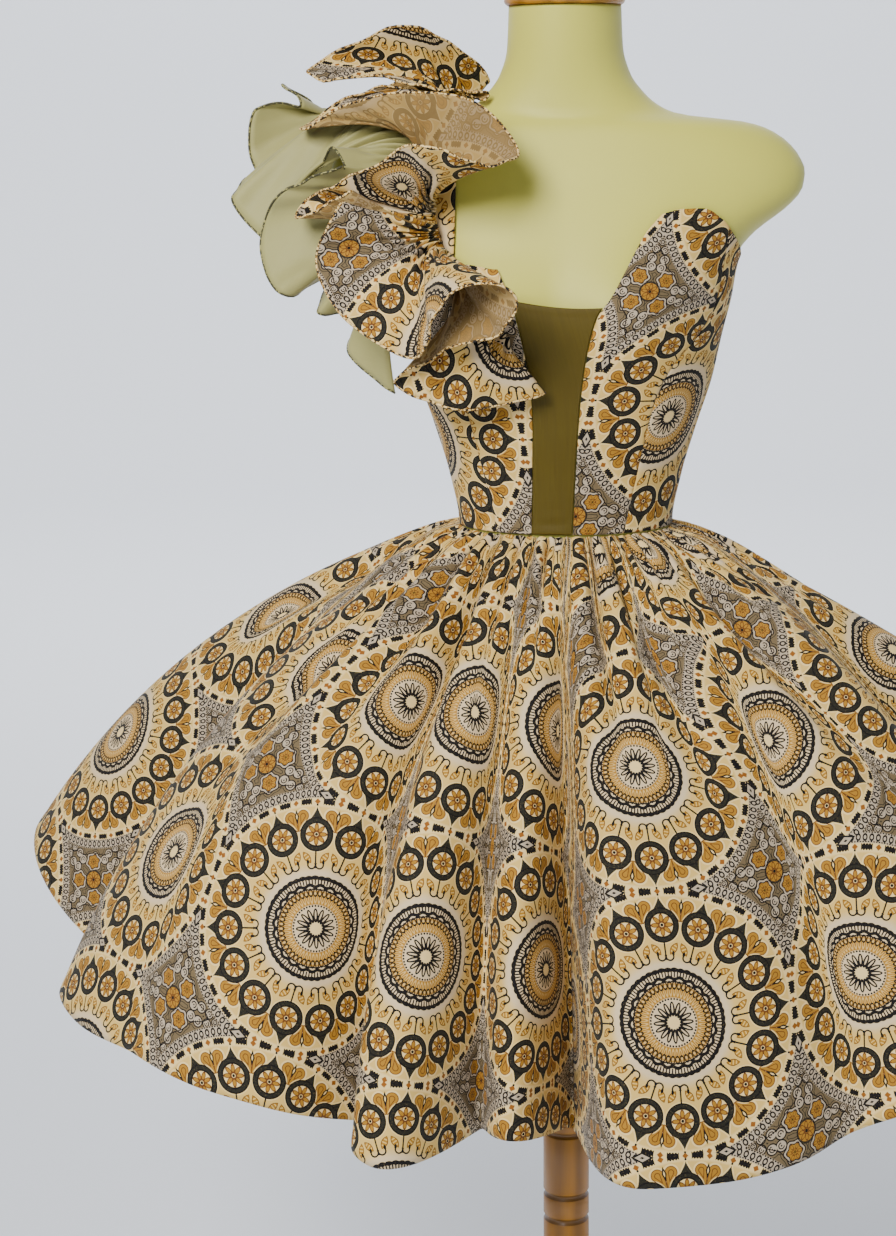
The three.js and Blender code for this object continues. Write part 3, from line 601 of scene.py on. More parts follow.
def feed(nodes, shader, sockets):
    for name, value in sockets.items():
        nodes.tree.links.new(value.socket if isinstance(value, Value) else value, shader.inputs[name])


def shaded(colour, share):
    return [min(1, c * share) for c in colour]


WEAVE = 0.62  # from thread to thread


def weave_height(nodes, u, v):
    """Plain weave: threads that pass over and under each other."""
    return abs((u * (math.pi / WEAVE)).sin()) * 0.5 + abs((v * (math.pi / WEAVE)).sin()) * 0.5


COTTON = {"Sheen Weight": 0.05, "Sheen Roughness": 0.5, "Specular IOR Level": 0.22}


def cotton_surface(nodes, shader, colour, mottle):
    u, v = nodes.uv()
    height = weave_height(nodes, u, v)
    crumple = nodes.noise(nodes.place(u, v), 0.045, 3.0, 0.55)
    normal = nodes.bump(crumple, 1.6 * MM, 0.5)
    normal = nodes.bump(height, 0.06 * MM, 0.6, normal)
    feed(nodes, shader, {"Base Color": colour, "Roughness": mottle * 0.12 + 0.72, "Normal": normal})


def printed_cotton(dye):
    material, nodes, shader = new_material("printed cotton", COTTON)
    group = nodes.add("ShaderNodeGroup", {"node_tree": print_group(dye)})
    cotton_surface(nodes, shader, group.outputs[0], nodes.value(group.outputs[1]))
    return material


def cotton_reverse(dye):
    """The print shows faintly through on the other side."""
    material, nodes, shader = new_material("printed cotton reverse", COTTON)
    group = nodes.add("ShaderNodeGroup", {"node_tree": print_group(dye)})
    colour = nodes.mix(group.outputs[0], dye.reverse, 0.76)
    cotton_surface(nodes, shader, colour, nodes.value(group.outputs[1]))
    return material


def speckled_edge(dye):
    """A narrow rolled hem, where the print turns over and breaks up into specks."""
    material, nodes, shader = new_material("rolled hem", {"Roughness": 0.8})
    place = nodes.in_object()
    specks = nodes.noise(place, 330, 2.0, 0.6)
    colour = nodes.mix(dye.cream, dye.gold, specks.above(0.48))
    colour = nodes.mix(colour, dye.black, specks.above(0.54))
    normal = nodes.bump(nodes.noise(place, 700, 1.0), 0.3 * MM)
    feed(nodes, shader, {"Base Color": colour, "Normal": normal})
    return material


def dark_overlock(dye):
    """Close dark stitches over the plain ruffle's edge."""
    material, nodes, shader = new_material("dark overlock", {"Roughness": 0.75})
    stitches = nodes.noise(nodes.in_object(), 420, 1.0)
    colour = nodes.mix(shaded(dye.olive, 0.12), dye.olive, stitches.above(0.57))
    normal = nodes.bump(stitches, 0.4 * MM)
    feed(nodes, shader, {"Base Color": colour, "Normal": normal})
    return material


def olive_cloth(dye):
    material, nodes, shader = new_material("olive sateen", {"Sheen Weight": 0.2, "Specular IOR Level": 0.35})
    u, v = nodes.uv()
    threads = nodes.noise(nodes.place(u * 0.05, v * 1.6), 1.0, 3.0)
    cloud = nodes.noise(nodes.place(u, v), 0.03, 2.0)
    colour = nodes.mix(shaded(dye.olive, 0.80), shaded(dye.olive, 1.12), threads * 0.5 + cloud * 0.5)
    normal = nodes.bump(cloud, 1.2 * MM, 0.35)
    normal = nodes.bump(threads, 0.08 * MM, 0.5, normal)
    feed(nodes, shader, {"Base Color": colour, "Roughness": threads * 0.15 + 0.5, "Normal": normal})
    return material


NET_MESH = 1.1  # from hole to hole


def net_cloth(dye):
    """Fine stretch net with thicker threads down its length."""
    material, nodes, shader = new_material("stretch net", {"Specular IOR Level": 0.25})
    u, v = nodes.uv()
    slubs = nodes.noise(nodes.place(u * 0.35, v * 0.012), 1.0, 4.0, 0.65)
    holes = abs((u * (math.pi / NET_MESH)).sin()) * abs((v * (math.pi / NET_MESH)).sin())
    cloud = nodes.noise(nodes.place(u, v), 0.02, 2.0)
    colour = nodes.mix(shaded(dye.net, 0.72), shaded(dye.net, 1.35), slubs * 0.7 + cloud * 0.3)
    normal = nodes.bump(slubs, 0.5 * MM, 0.5)
    normal = nodes.bump(holes, 0.1 * MM, 0.5, normal)
    feed(nodes, shader, {"Base Color": colour, "Roughness": holes * 0.2 + 0.55, "Normal": normal})
    return material


def jersey(dye):
    material, nodes, shader = new_material("jersey", {"Sheen Weight": 0.15, "Specular IOR Level": 0.4})
    place = nodes.in_object()
    x, y, z = nodes.split(place)
    wales = nodes.noise(nodes.place(x * 900, y * 900, z * 60), 1.0, 2.0)
    cloud = nodes.noise(place, 9, 2.0)
    colour = nodes.mix(shaded(dye.jersey, 0.93), shaded(dye.jersey, 1.06), cloud * 0.7 + wales * 0.3)
    normal = nodes.bump(wales, 0.1 * MM, 0.5)
    feed(nodes, shader, {"Base Color": colour, "Roughness": wales * 0.1 + 0.45, "Normal": normal})
    return material


GROOVE_HEIGHTS = [WAIST_Z + up for up in (-629, -646, -715, -742)]
GROOVE_HALF, GROOVE_DEEP = 4, 2.5
GROOVE_PAINTED_SHADE = 3.2  # how far to each side of a groove's middle the wood is darkened, as painted shade in the groove


def turned_wood(dye):
    material, nodes, shader = new_material("turned wood", {"Coat Weight": 0.35, "Coat Roughness": 0.25})
    x, y, z = nodes.split(nodes.in_object())
    warp = nodes.noise(nodes.place(x * 14, y * 14, z * 3), 1.0, 3.0)
    grain = nodes.noise(nodes.place(x * 260 + warp * 9, y * 260, z * 9), 1.0, 4.0, 0.65)
    bands = ((x * 260 + warp * 16).sin() * 0.5 + 0.5) * 0.6 + grain * 0.4
    colour = nodes.mix(shaded(dye.wood, 0.5), shaded(dye.wood, 1.35), bands)
    # Painted shade: the wood is darkened in and beside each groove, where shade falls in the recess.
    first, *others = [(z / MM).near(height, GROOVE_PAINTED_SHADE) for height in GROOVE_HEIGHTS]
    colour = nodes.mix(colour, shaded(dye.wood, 0.25), first.either(*others) * 0.75)
    normal = nodes.bump(grain, 0.15 * MM, 0.4)
    feed(nodes, shader, {"Base Color": colour, "Roughness": grain * 0.2 + 0.35, "Normal": normal})
    return material


MATERIALS = {
    "print": printed_cotton,
    "reverse": cotton_reverse,
    "edge": speckled_edge,
    "overlock": dark_overlock,
    "olive": olive_cloth,
    "net": net_cloth,
    "jersey": jersey,
    "wood": turned_wood,
}
made_materials = {}


def material(name):
    if name not in made_materials:
        made_materials[name] = MATERIALS[name](bpy.context.scene.dress_colours)
    return made_materials[name]


# ---- Making pieces ---------------------------------------------------------------------------------------
def show(name, data):
    made = bpy.data.objects.new(name, data)
    bpy.context.scene.collection.objects.link(made)
    return made


def link(name, mesh, materials):
    for key in materials:
        mesh.materials.append(material(key))
    return show(name, mesh)


def carry(piece, slot, *nodes):
    """A finished piece rides with the part, takes a slot's finish and stands for its CAD nodes."""
    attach(piece, "root")
    if nodes:
        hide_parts(*nodes)


def bent_grid(name, place, cloth_place=None):
    """A grid bent to rows and columns of points, in millimetres, with its place on the flat cloth as UVs.

    Gives the mesh and the row that each of its vertices is in.
    """
    rows, columns = place.shape[0] - 1, place.shape[1] - 1
    bm = bmesh.new()
    bmesh.ops.create_grid(bm, x_segments=columns, y_segments=rows, size=0.5)
    mesh = bpy.data.meshes.new(name)
    bm.to_mesh(mesh)
    bm.free()
    flat = np.empty(len(mesh.vertices) * 3)
    mesh.vertices.foreach_get("co", flat)
    flat = flat.reshape(-1, 3)
    column = np.rint((flat[:, 0] + 0.5) * columns).astype(int)
    row = np.rint((flat[:, 1] + 0.5) * rows).astype(int)
    mesh.vertices.foreach_set("co", (place[row, column] * MM).ravel())
    if cloth_place is not None:
        corner = np.empty(len(mesh.loops), int)
        mesh.loops.foreach_get("vertex_index", corner)
        layer = mesh.uv_layers.new(name="cloth")
        layer.uv.foreach_set("vector", (cloth_place[row, column][corner] * MM).ravel())
    mesh.shade_smooth()
    mesh.update()
    return mesh, row


PRINTED = ["print", "reverse", "print"]  # right side, reverse and edges


def cloth(name, place, cloth_place, materials, thickness, hem=None):
    """A sheet of cloth. Hem gives the rows of the grid that are folded double."""
    mesh, row = bent_grid(name, place, cloth_place)
    piece = link(name, mesh, materials)
    wall = piece.modifiers.new("thickness", "SOLIDIFY")
    wall.thickness = thickness
    wall.offset = 0
    wall.use_quality_normals = True
    wall.material_offset = 1
    wall.material_offset_rim = len(materials) - 1
    if hem is not None:
        folded = piece.vertex_groups.new(name="hem")
        folded.add([int(i) for i in np.flatnonzero(np.isin(row, list(hem)))], 1.0, "REPLACE")
        wall.thickness = thickness * 2
        wall.vertex_group = "hem"
        wall.thickness_vertex_group = 0.5
    return piece


def normals_of(place):
    """Towards the right side of a grid of points."""
    return unit(np.cross(np.gradient(place, axis=1), np.gradient(place, axis=0)))


def run_along(place, axis):
    """Distance walked along one way of a grid of points."""
    steps = np.linalg.norm(np.diff(place, axis=axis), axis=-1)
    start = np.zeros_like(np.take(steps, [0], axis=axis))
    return np.concatenate([start, np.cumsum(steps, axis=axis)], axis=axis)


def laid_flat(place):
    """Where each point of a grid is on the flat cloth, measured along its rows and columns."""
    return np.stack([run_along(place, 1), run_along(place, 0)], axis=-1)


def tube(name, path, radius, materials):
    """A thin round roll of cloth along a line of points, in millimetres."""
    curve = bpy.data.curves.new(name, "CURVE")
    curve.dimensions = "3D"
    curve.bevel_depth = radius * MM
    curve.bevel_resolution = 1
    curve.use_fill_caps = True
    spline = curve.splines.new("POLY")
    spline.points.add(len(path) - 1)
    spline.points.foreach_set("co", np.column_stack([path * MM, np.ones(len(path))]).ravel())
    rough = bpy.data.objects.new(name + " path", curve)
    mesh = bpy.data.meshes.new_from_object(rough)
    bpy.data.objects.remove(rough)
    mesh.name = name
    mesh.shade_smooth()
    return link(name, mesh, materials)


# ---- The form and its stand ------------------------------------------------------------------------------
FORM_LEVELS = np.concatenate([np.linspace(FORM_FOOT, 380, 90), np.linspace(384, FORM_TOP, 40)])
FORM_TURNS = np.linspace(0, 360, 129)
SAME_PLACE = 1e-5
SHARP = 40 * RAD


def closed_round(name, place, fill=False):
    """A grid of points whose first and last columns meet, with its open ends filled if that is asked."""
    mesh, _ = bent_grid(name, place)
    bm = bmesh.new()
    bm.from_mesh(mesh)
    bmesh.ops.remove_doubles(bm, verts=bm.verts, dist=SAME_PLACE)
    if fill:
        bmesh.ops.holes_fill(bm, edges=[e for e in bm.edges if e.is_boundary])
    bmesh.ops.recalc_face_normals(bm, faces=bm.faces)
    bm.to_mesh(mesh)
    bm.free()
    mesh.shade_smooth()
    return mesh


def make_form():
    mesh = closed_round("form_body", form_point(FORM_TURNS[None, :], FORM_LEVELS[:, None]), fill=True)
    carry(link("form_body", mesh, ["jersey"]), "form_jersey", "form_torso")


def lathe(name, profile, steps, ahead=0.0):
    """A mesh spun round the upright axis from a profile of radius and height."""
    r, z = np.array(profile, float).T[..., None]
    angle = np.linspace(0, math.tau, steps + 1)
    return closed_round(name, points(r * np.cos(angle), r * np.sin(angle) - ahead, z))


def turned(name, profile, steps, node, ahead=0.0):
    """A wooden piece turned on a lathe from a profile of radius and height."""
    mesh = lathe(name, profile, steps, ahead)
    mesh.set_sharp_from_angle(angle=SHARP)
    carry(link(name, mesh, ["wood"]), "turned_wood", node)


def arc(radius, middle_r, middle_z, start, end, count=8):
    """Points of a round stretch of a profile, between two angles in degrees from straight out."""
    angles = np.radians(np.linspace(start, end, count))
    return [(middle_r + radius * math.cos(a), middle_z + radius * math.sin(a)) for a in angles]


CAP_DISC = [(0, 0), (55, 0)]
CAP_WAVE = [(47, 10), (46, 12), (44.5, 16), (42, 20), (37, 25.5), (30, 30), (22, 34), (17, 37.5)]
CAP_NECK = [(15.2, 41), (15, 45), (16.5, 48)]
CAP_TIP = [(15, 72.3), (10, 74.2), (5, 74.9), (0, 75)]


def make_cap():
    rim, knob = arc(4.5, 53.5, 4.5, -80, 90), arc(12, 12, 60, -60, 60, 10)
    profile = CAP_DISC + rim + CAP_WAVE + CAP_NECK + knob + CAP_TIP
    foot = WAIST_Z + FORM_TOP + SEAM_GAP
    turned("neck_knob", [(r, foot + z) for r, z in profile], 72, "neck_cap", NECK_AHEAD)


def make_pole():
    bottom = BASE_THICK + HUB_TALL + SEAM_GAP
    top = WAIST_Z + FORM_FOOT - SEAM_GAP
    half, deep = GROOVE_HALF, GROOVE_DEEP
    groove = [  # how deep at each height
        (0, -half), (0.8, -0.7 * half), (deep - 0.2, -0.3 * half), (deep, 0),
        (deep - 0.2, 0.3 * half), (0.8, 0.7 * half), (0, half),
    ]
    profile = [(0, bottom), (POLE_R, bottom)]
    for z in sorted(GROOVE_HEIGHTS):
        profile += [(POLE_R - down, z + up) for down, up in groove]
    turned("turned_pole", profile + [(POLE_R, top), (0, top)], 64, "stand_pole")


BASE_EDGE = 9
BASE_FOOT = [(0, 0), (BASE_R - 3, 0), (BASE_R - 0.8, 0.8), (BASE_R, 3)]
HUB = [  # radius, and height over the base
    (52, 0), (50, 2), (47.5, 6), (44, 10), (39, 13), (36, 15), (34.6, 19),
    (34, HUB_TALL - 1), (33, HUB_TALL), (0, HUB_TALL),
]


def make_base():
    rim = arc(BASE_EDGE, BASE_R - BASE_EDGE, BASE_THICK - BASE_EDGE, 0, 90, 10)
    turned("turned_base", BASE_FOOT + rim + [(r, BASE_THICK + z) for r, z in HUB], 96, "stand_base")


# ---- The bodice ------------------------------------------------------------------------------------------
PLUNGE_LEFT = table(
    "up x",
    (0, 13), (80, 18), (138, 23), (176, 29), (212, 39), (231, 52), (256, 65), (276, 75), (291, 84), (306, 97),
)
PLUNGE_RIGHT = table("up x", (0, 27), (70, 25), (110, 24), (150, 26), (190, 33), (227, 43), (256, 56))
PRINCESS = table(
    "up x", (0, 62), (83, 80), (124, 90), (160, 106), (189, 130), (215, 146), (255, 155), (310, 162)
)
TOP_LEFT = table(
    "turn up",
    (20, 300), (24, 306), (28.5, 310), (34, 310.5), (44, 301),
    (59, 285), (74, 272), (90, 262), (130, 252), (180, 246),
)
TOP_RIGHT = table(
    "turn up", (18, 256), (28, 260), (62, 260), (76, 256), (90, 254), (110, 248), (155, 248), (180, 246)
)
NET_TOP = {"left": 221, "right": 228, "dip": 3}
BODICE_RADIUS = 110
SEAM_TURN = SEAM_GAP / 2 / BODICE_RADIUS / RAD
plunge_left = reader(PLUNGE_LEFT, "up", "x")
plunge_right = reader(PLUNGE_RIGHT, "up", "x")
princess = reader(PRINCESS, "up", "x")
top_left = reader(TOP_LEFT, "turn", "up")
top_right = reader(TOP_RIGHT, "turn", "up")


def edge_at(line, shift=0.0):
    return lambda up: turn_at(line(up), up, CLOTH_OUT) + shift


def seam_at(turn):
    return lambda up: turn + 0.0 * up


SEAM_ROLL = {"wide": 1.6, "deep": 0.9}  # how a panel's edge turns in at a seam
MEETING_TRIES = 12


def meeting(top_edge, edge):
    """How far up a panel's edge meets the bodice's top edge."""
    up = top_edge(SIDE_TURN)
    for _ in range(MEETING_TRIES):
        up = top_edge(edge(up))
    return up


def bodice_panel(name, side, inner, outer, top_edge, columns, rows, sewn, origin):
    """A panel between two edges. Sewn says which of them turn in, and origin is its place on the cloth."""
    inner_top, outer_top = meeting(top_edge, inner), meeting(top_edge, outer)
    a, b = shares(columns, rows)
    share = a if side > 0 else 1 - a
    turn = lerp(inner(b * inner_top), outer(b * outer_top), share)
    top_turn = lerp(inner(inner_top), outer(outer_top), share)
    up = lerp(SEAM_GAP / 2, top_edge(top_turn), b)
    flat = form_point(side * turn, up, CLOTH_OUT)
    across = run_along(flat, 1)
    wide = across[:, -1:]
    from_inner = across if side > 0 else wide - across
    from_outer = wide - from_inner
    roll = np.zeros_like(across)
    for near, is_sewn in ((from_inner, sewn[0]), (from_outer, sewn[1])):
        if is_sewn:
            roll = np.maximum(roll, np.exp(-((near / SEAM_ROLL["wide"]) ** 2)))
    place = flat - normals_of(flat) * (SEAM_ROLL["deep"] * roll)[..., None]
    middle = across - wide / 2
    cloth_place = np.stack([middle + origin[0], run_along(flat, 0) + origin[1]], axis=-1)
    return cloth(name, place, cloth_place, PRINTED, bpy.context.scene.dress_sizes.cloth)


# Where the middle of each panel's lower edge was cut, and the panel's size and area when flat, in metres.
BODICE_CLOTH = {
    "left_centre_front": ((-92, -136), (0.15, 0.31), 0.0275),
    "left_side_front": ((30, -118), (0.11, 0.28), 0.0235),
    "left_back": ((120, 10), (0.19, 0.27), 0.048),
    "right_centre_front": ((96, -96), (0.14, 0.26), 0.022),
    "right_side_front": ((30, -96), (0.11, 0.26), 0.0225),
    "right_back": ((20, -40), (0.19, 0.26), 0.0475),
}


def make_bodice():
    sides = (("left", 1, plunge_left, top_left), ("right", -1, plunge_right, top_right))
    for name, side, plunge, top in sides:
        centre_edges = edge_at(plunge), edge_at(princess, -SEAM_TURN)
        side_edges = edge_at(princess, SEAM_TURN), seam_at(SIDE_TURN - SEAM_TURN)
        back_edges = seam_at(SIDE_TURN + SEAM_TURN), seam_at(180 - SEAM_TURN)
        panels = (  # name, edges, columns, rows and which edges are sewn
            ("centre_front", *centre_edges, 40, 120, (False, True)),
            ("side_front", *side_edges, 60, 120, (True, True)),
            ("back", *back_edges, 80, 90, (True, True)),
        )
        for piece_name, inner, outer, columns, rows, sewn in panels:
            key = f"{name}_{piece_name}"
            origin, size, area = BODICE_CLOTH[key]
            piece = bodice_panel("bodice_cloth_" + key, side, inner, outer, top, columns, rows, sewn, origin)
            carry(piece, "printed_cotton", "bodice_" + key)


def shares(columns, rows):
    """Shares of the way across and up a grid."""
    return np.linspace(0, 1, columns + 1)[None, :], np.linspace(0, 1, rows + 1)[:, None]


NET_ROWS, NET_HEM_ROWS = 120, 4
NET_CRINKLE = {"high": 0.8, "close": 0.42, "dies": 16}
NET_CLOTH = 0.7 * MM


def make_net():
    a, b = shares(40, NET_ROWS)
    top = lerp(NET_TOP["right"], NET_TOP["left"], a) - NET_TOP["dip"] * 4 * a * (1 - a)
    up = lerp(SEAM_GAP / 2, top, b)
    start = -plunge_right(up) + 2 * SEAM_GAP
    end = plunge_left(up) - 3 * SEAM_GAP
    x = lerp(start, end, a)

    def on_form(at):
        return form_point(turn_at(at, up, CLOTH_OUT), up, CLOTH_OUT)[..., 1]

    y = np.minimum(on_form(x), lerp(on_form(start), on_form(end), a))
    ripple = NET_CRINKLE["high"] * np.sin(up * NET_CRINKLE["close"])
    crinkle = ripple * np.exp(-up / NET_CRINKLE["dies"]) * np.sin(a * math.pi)
    place = points(x, y - crinkle, WAIST_Z + up)
    cloth_place = laid_flat(place)
    hem = range(NET_ROWS + 1 - NET_HEM_ROWS, NET_ROWS + 1)
    piece = cloth("net_in_plunge", place, cloth_place, ["net", "net"], NET_CLOTH, hem)
    carry(piece, "stretch_net", "plunge_net")


STRAP = {"outer": -146, "inner": -98, "front_up": 261, "back_up": 249.4}


def make_strap():
    a, b = shares(20, 160)
    x = lerp(STRAP["outer"], STRAP["inner"], a)
    ray_up = lerp(STRAP["front_up"], STRAP["back_up"], b)
    place, _ = slice_point(x + 0 * b, 180 * b + 0 * a, CLOTH_OUT + 0 * a * b, ray_up + 0 * a)
    cloth_place = laid_flat(place)
    thickness = bpy.context.scene.dress_sizes.cloth
    piece = cloth("strap_over_shoulder", place, cloth_place, PRINTED, thickness)
    carry(piece, "printed_cotton", "shoulder_strap")


# ---- The ruffles -----------------------------------------------------------------------------------------
PRINT_STITCHING = table(
    "angle x",
    (-28, -46), (-4, -84), (10, -104), (28, -114), (55, -122),
    (90, -124), (130, -118), (165, -114), (190, -112),
)
PRINT_EDGE = table(
    "angle x ahead up",
    (-27, -10, 125, 142),
    (-24, -80, 140, 128),
    (-18, -150, 142, 150),
    (-8, -100, 180, 186),
    (-1, -44, 205, 206),
    (3, -30, 220, 238),
    (6, -68, 232, 254),
    (9, -98, 220, 226),
    (12, -126, 190, 182),
    (16, -190, 165, 212),
    (20, -224, 135, 262),
    (23, -208, 140, 305),
    (26, -187, 150, 332),
    (29, -240, 122, 303),
    (32, -240, 100, 320),
    (35, -170, 150, 352),
    (38, -115, 182, 374),
    (41, -60, 170, 352),
    (45, -34, 135, 365),
    (50, -72, 112, 408),
    (56, -131, 106, 420),
    (62, -198, 88, 410),
    (67, -246, 62, 384),
    (73, -240, 30, 398),
    (80, -180, 36, 424),
    (87, -72, 40, 416),
    (94, -160, 48, 432),
    (102, -250, 12, 440),
    (111, -150, -20, 484),
    (120, -80, -70, 430),
    (130, -160, -120, 440),
    (140, -238, -120, 385),
    (149, -150, -190, 370),
    (158, -75, -180, 320),
    (167, -150, -180, 280),
    (177, -212, -140, 250),
    (188, -130, -150, 180),
)
OLIVE_STITCHING = table("angle x", (0, -132), (30, -138), (60, -139), (120, -138), (178, -132))
OLIVE_EDGE = table(
    "angle x ahead up",
    (2, -160, 70, 135),
    (8, -208, 55, 172),
    (13, -190, 30, 205),
    (18, -236, 62, 212),
    (24, -222, 30, 245),
    (30, -268, 85, 232),
    (37, -288, 72, 280),
    (44, -268, 88, 325),
    (50, -225, 108, 345),
    (56, -198, 108, 352),
    (61, -215, 85, 368),
    (66, -232, 60, 350),
    (71, -270, 60, 320),
    (77, -278, 62, 278),
    (84, -318, 60, 322),
    (91, -292, 24, 346),
    (98, -254, 4, 342),
    (104, -303, 5, 345),
    (112, -306, 0, 405),
    (120, -262, -10, 408),
    (128, -284, -35, 428),
    (138, -250, -70, 400),
    (148, -300, -100, 350),
    (158, -240, -120, 330),
    (168, -270, -130, 270),
    (178, -190, -140, 220),
)
STAND_UP = 0.4  # how far a ruffle rises from its stitching before it falls, as a share of its length
EDGE_STEPS = 14
RUFFLE_ROWS = 36
SMALL_FOLDS = 4  # gathered folds at the stitching for each row of an edge table
# Where the gathers and the crinkles are, as shares of the way from the stitching to the free edge.
GATHERED = {"high": 5.5, "full": 0.12, "fades_from": 0.2, "fades_over": 0.65}
CRINKLED = {"from": 0.45, "over": 0.55}
CRINKLES = ((2.6, 13, 1.6, 47), (1.2, 6.1, 1.0, 23))  # height, length, how much it sways and over what length
ROLL_RADIUS = 1.2
# Tilt is how far a ruffle's rise leans towards the arm. Width and area are those of the flat strip.
RUFFLES = (
    {
        "name": "print_ruffle", "node": "ruffle_print", "slot": "printed_cotton",
        "stitching": PRINT_STITCHING, "edge": PRINT_EDGE, "tilt": 0,
        "materials": ["print", "reverse", "edge"], "width": 0.12, "area": 0.17,
    },
    {
        "name": "olive_ruffle", "node": "ruffle_olive", "slot": "olive_sateen",
        "stitching": OLIVE_STITCHING, "edge": OLIVE_EDGE, "tilt": 55,
        "materials": ["olive", "olive", "overlock"], "width": 0.14, "area": 0.123,
    },
)


def through(values, at):
    """A smooth curve through evenly timed values."""
    last = len(values) - 1
    i = np.clip(np.floor(at).astype(int), 0, last - 1)
    t = at - i
    p, q, r, s = (values[np.clip(i + k, 0, last)] for k in (-1, 0, 1, 2))
    return q + (t * (r - p + t * (2 * p - 5 * q + 4 * r - s + t * (3 * (q - r) + s - p)))) / 2


def unrolled(blade):
    """The place of each point when a ruffle's strips are laid flat one after another."""
    inner = np.linalg.norm(np.diff(blade[0], axis=0), axis=-1)
    outer = np.linalg.norm(np.diff(blade[-1], axis=0), axis=-1)
    long = run_along(blade, 0)
    spread = (outer - inner) * 2 / (long[-1, 1:] + long[-1, :-1])
    angle = -np.concatenate([[0], np.cumsum(spread)])
    middle = (angle[1:] + angle[:-1]) / 2
    steps = inner[:, None] * np.column_stack([np.cos(middle), np.sin(middle)])
    start = np.concatenate([[[0, 0]], np.cumsum(steps, 0)])
    outward = np.column_stack([-np.sin(angle), np.cos(angle)])
    return start[None] + outward[None] * long[..., None]


def ruffle_surface(stitching, edge, tilt):
    """Points of a ruffle from its stitching to its free edge, with the small folds of its gathers."""
    last = len(edge["x"]) - 1
    place = np.linspace(0, last, last * EDGE_STEPS + 1)
    angle = np.interp(place, np.arange(last + 1), edge["angle"])
    seat = np.full(angle.shape, FORM_CLEAR + CLOTH + SEAM_GAP + CLOTH / 2)
    root, normal = slice_point(reader(stitching, "angle", "x")(angle), angle, seat)
    to_arm = np.cross(points(0, -normal[:, 2], normal[:, 1]), normal)
    normal = normal * math.cos(tilt * RAD) + to_arm * math.sin(tilt * RAD)
    x, ahead, up = (through(edge[name], place) for name in ("x", "ahead", "up"))
    tip = points(x, -ahead, WAIST_Z + up)
    stand = root + normal * STAND_UP * np.linalg.norm(tip - root, axis=-1, keepdims=True)
    b = np.linspace(0, 1, RUFFLE_ROWS + 1)[:, None, None]
    blade = root * (1 - b) ** 2 + stand * 2 * b * (1 - b) + tip * b * b
    rng = np.random.default_rng(SEED)
    knots = rng.uniform(0.6, 1.4, last * SMALL_FOLDS + 2)
    phase = np.interp(place * SMALL_FOLDS, np.arange(len(knots)), np.cumsum(knots)) * math.pi
    b = b[..., 0]
    fading = 1 - smooth((b - GATHERED["fades_from"]) / GATHERED["fades_over"])
    near_root = smooth(b / GATHERED["full"]) * fading
    near_edge = smooth((b - CRINKLED["from"]) / CRINKLED["over"])
    run = run_along(tip[None], 1)
    crinkle = sum(
        high * np.sin(run / long + sway * np.sin(run / slow)) for high, long, sway, slow in CRINKLES
    )
    waves = GATHERED["high"] * np.sin(phase)[None, :] * near_root + crinkle * near_edge
    return blade + normals_of(blade) * waves[..., None], unrolled(blade)


def make_ruffles():
    thickness = bpy.context.scene.dress_sizes.ruffle_cloth
    for ruffle in RUFFLES:
        name, slot, area = ruffle["name"], ruffle["slot"], ruffle["area"]
        place, cloth_place = ruffle_surface(ruffle["stitching"], ruffle["edge"], ruffle["tilt"])
        piece = cloth(name, place, cloth_place, ruffle["materials"], thickness)
        roll = tube(name + "_hem", place[-1], ROLL_RADIUS, ruffle["materials"][-1:])
        carry(piece, slot, ruffle["node"])
        carry(roll, slot)


# ---- The skirt -------------------------------------------------------------------------------------------
CRESTS = table(
    "turn reach length",
    (-180, 455, 628), (-155, 478, 628), (-130, 535, 628), (-104, 605, 628), (-84, 532, 628), (-66, 514, 630),
    (-54, 500, 620), (-44, 466, 612), (-36, 425, 604), (-31, 394, 606), (-21, 400, 628), (-6, 345, 590),
    (7, 412, 628), (14, 404, 632), (24, 404, 632), (34, 425, 630), (46, 475, 625), (62, 535, 622),
    (94, 592, 628), (122, 540, 628), (150, 478, 628), (180, 455, 628),
)
VALLEYS = table(
    "turn deep wide lean start",
    (-168, 110, 7, 2, 0.05),
    (-144, 120, 7, -2, 0.1),
    (-122, 90, 6, -2, 0.1),
    (-86, 125, 6, 4, 0.12),
    (-56, 26, 8, 0, 0.5),
    (-31, 70, 3.2, 1, 0.35),
    (-12, 90, 4, -1, 0.02),
    (3, 190, 4.5, 3, 0),
    (43, 46, 7, 0, 0.02),
    (76, 110, 7, -2, 0.05),
    (108, 125, 7, 2, 0.1),
    (136, 115, 7, -1, 0.05),
    (164, 105, 7, 2, 0.05),
)
PLEATS = table(
    "turn drift deep wide until",
    (-58, -6, 26, 4, 0.75),
    (-44, 2, 22, 4, 0.6),
    (-32, 4, 34, 3.5, 0.9),
    (14, 2, 16, 4, 0.5),
    (28, 8, 22, 4, 0.6),
    (54, 8, 30, 4, 0.85),
    (-94, -4, 20, 5, 0.6),
    (94, 2, 20, 5, 0.6),
    (148, 3, 20, 5, 0.6),
    (-154, -3, 20, 5, 0.6),
    (-128, 3, 20, 5, 0.6),
    (121, -3, 20, 5, 0.6),
)
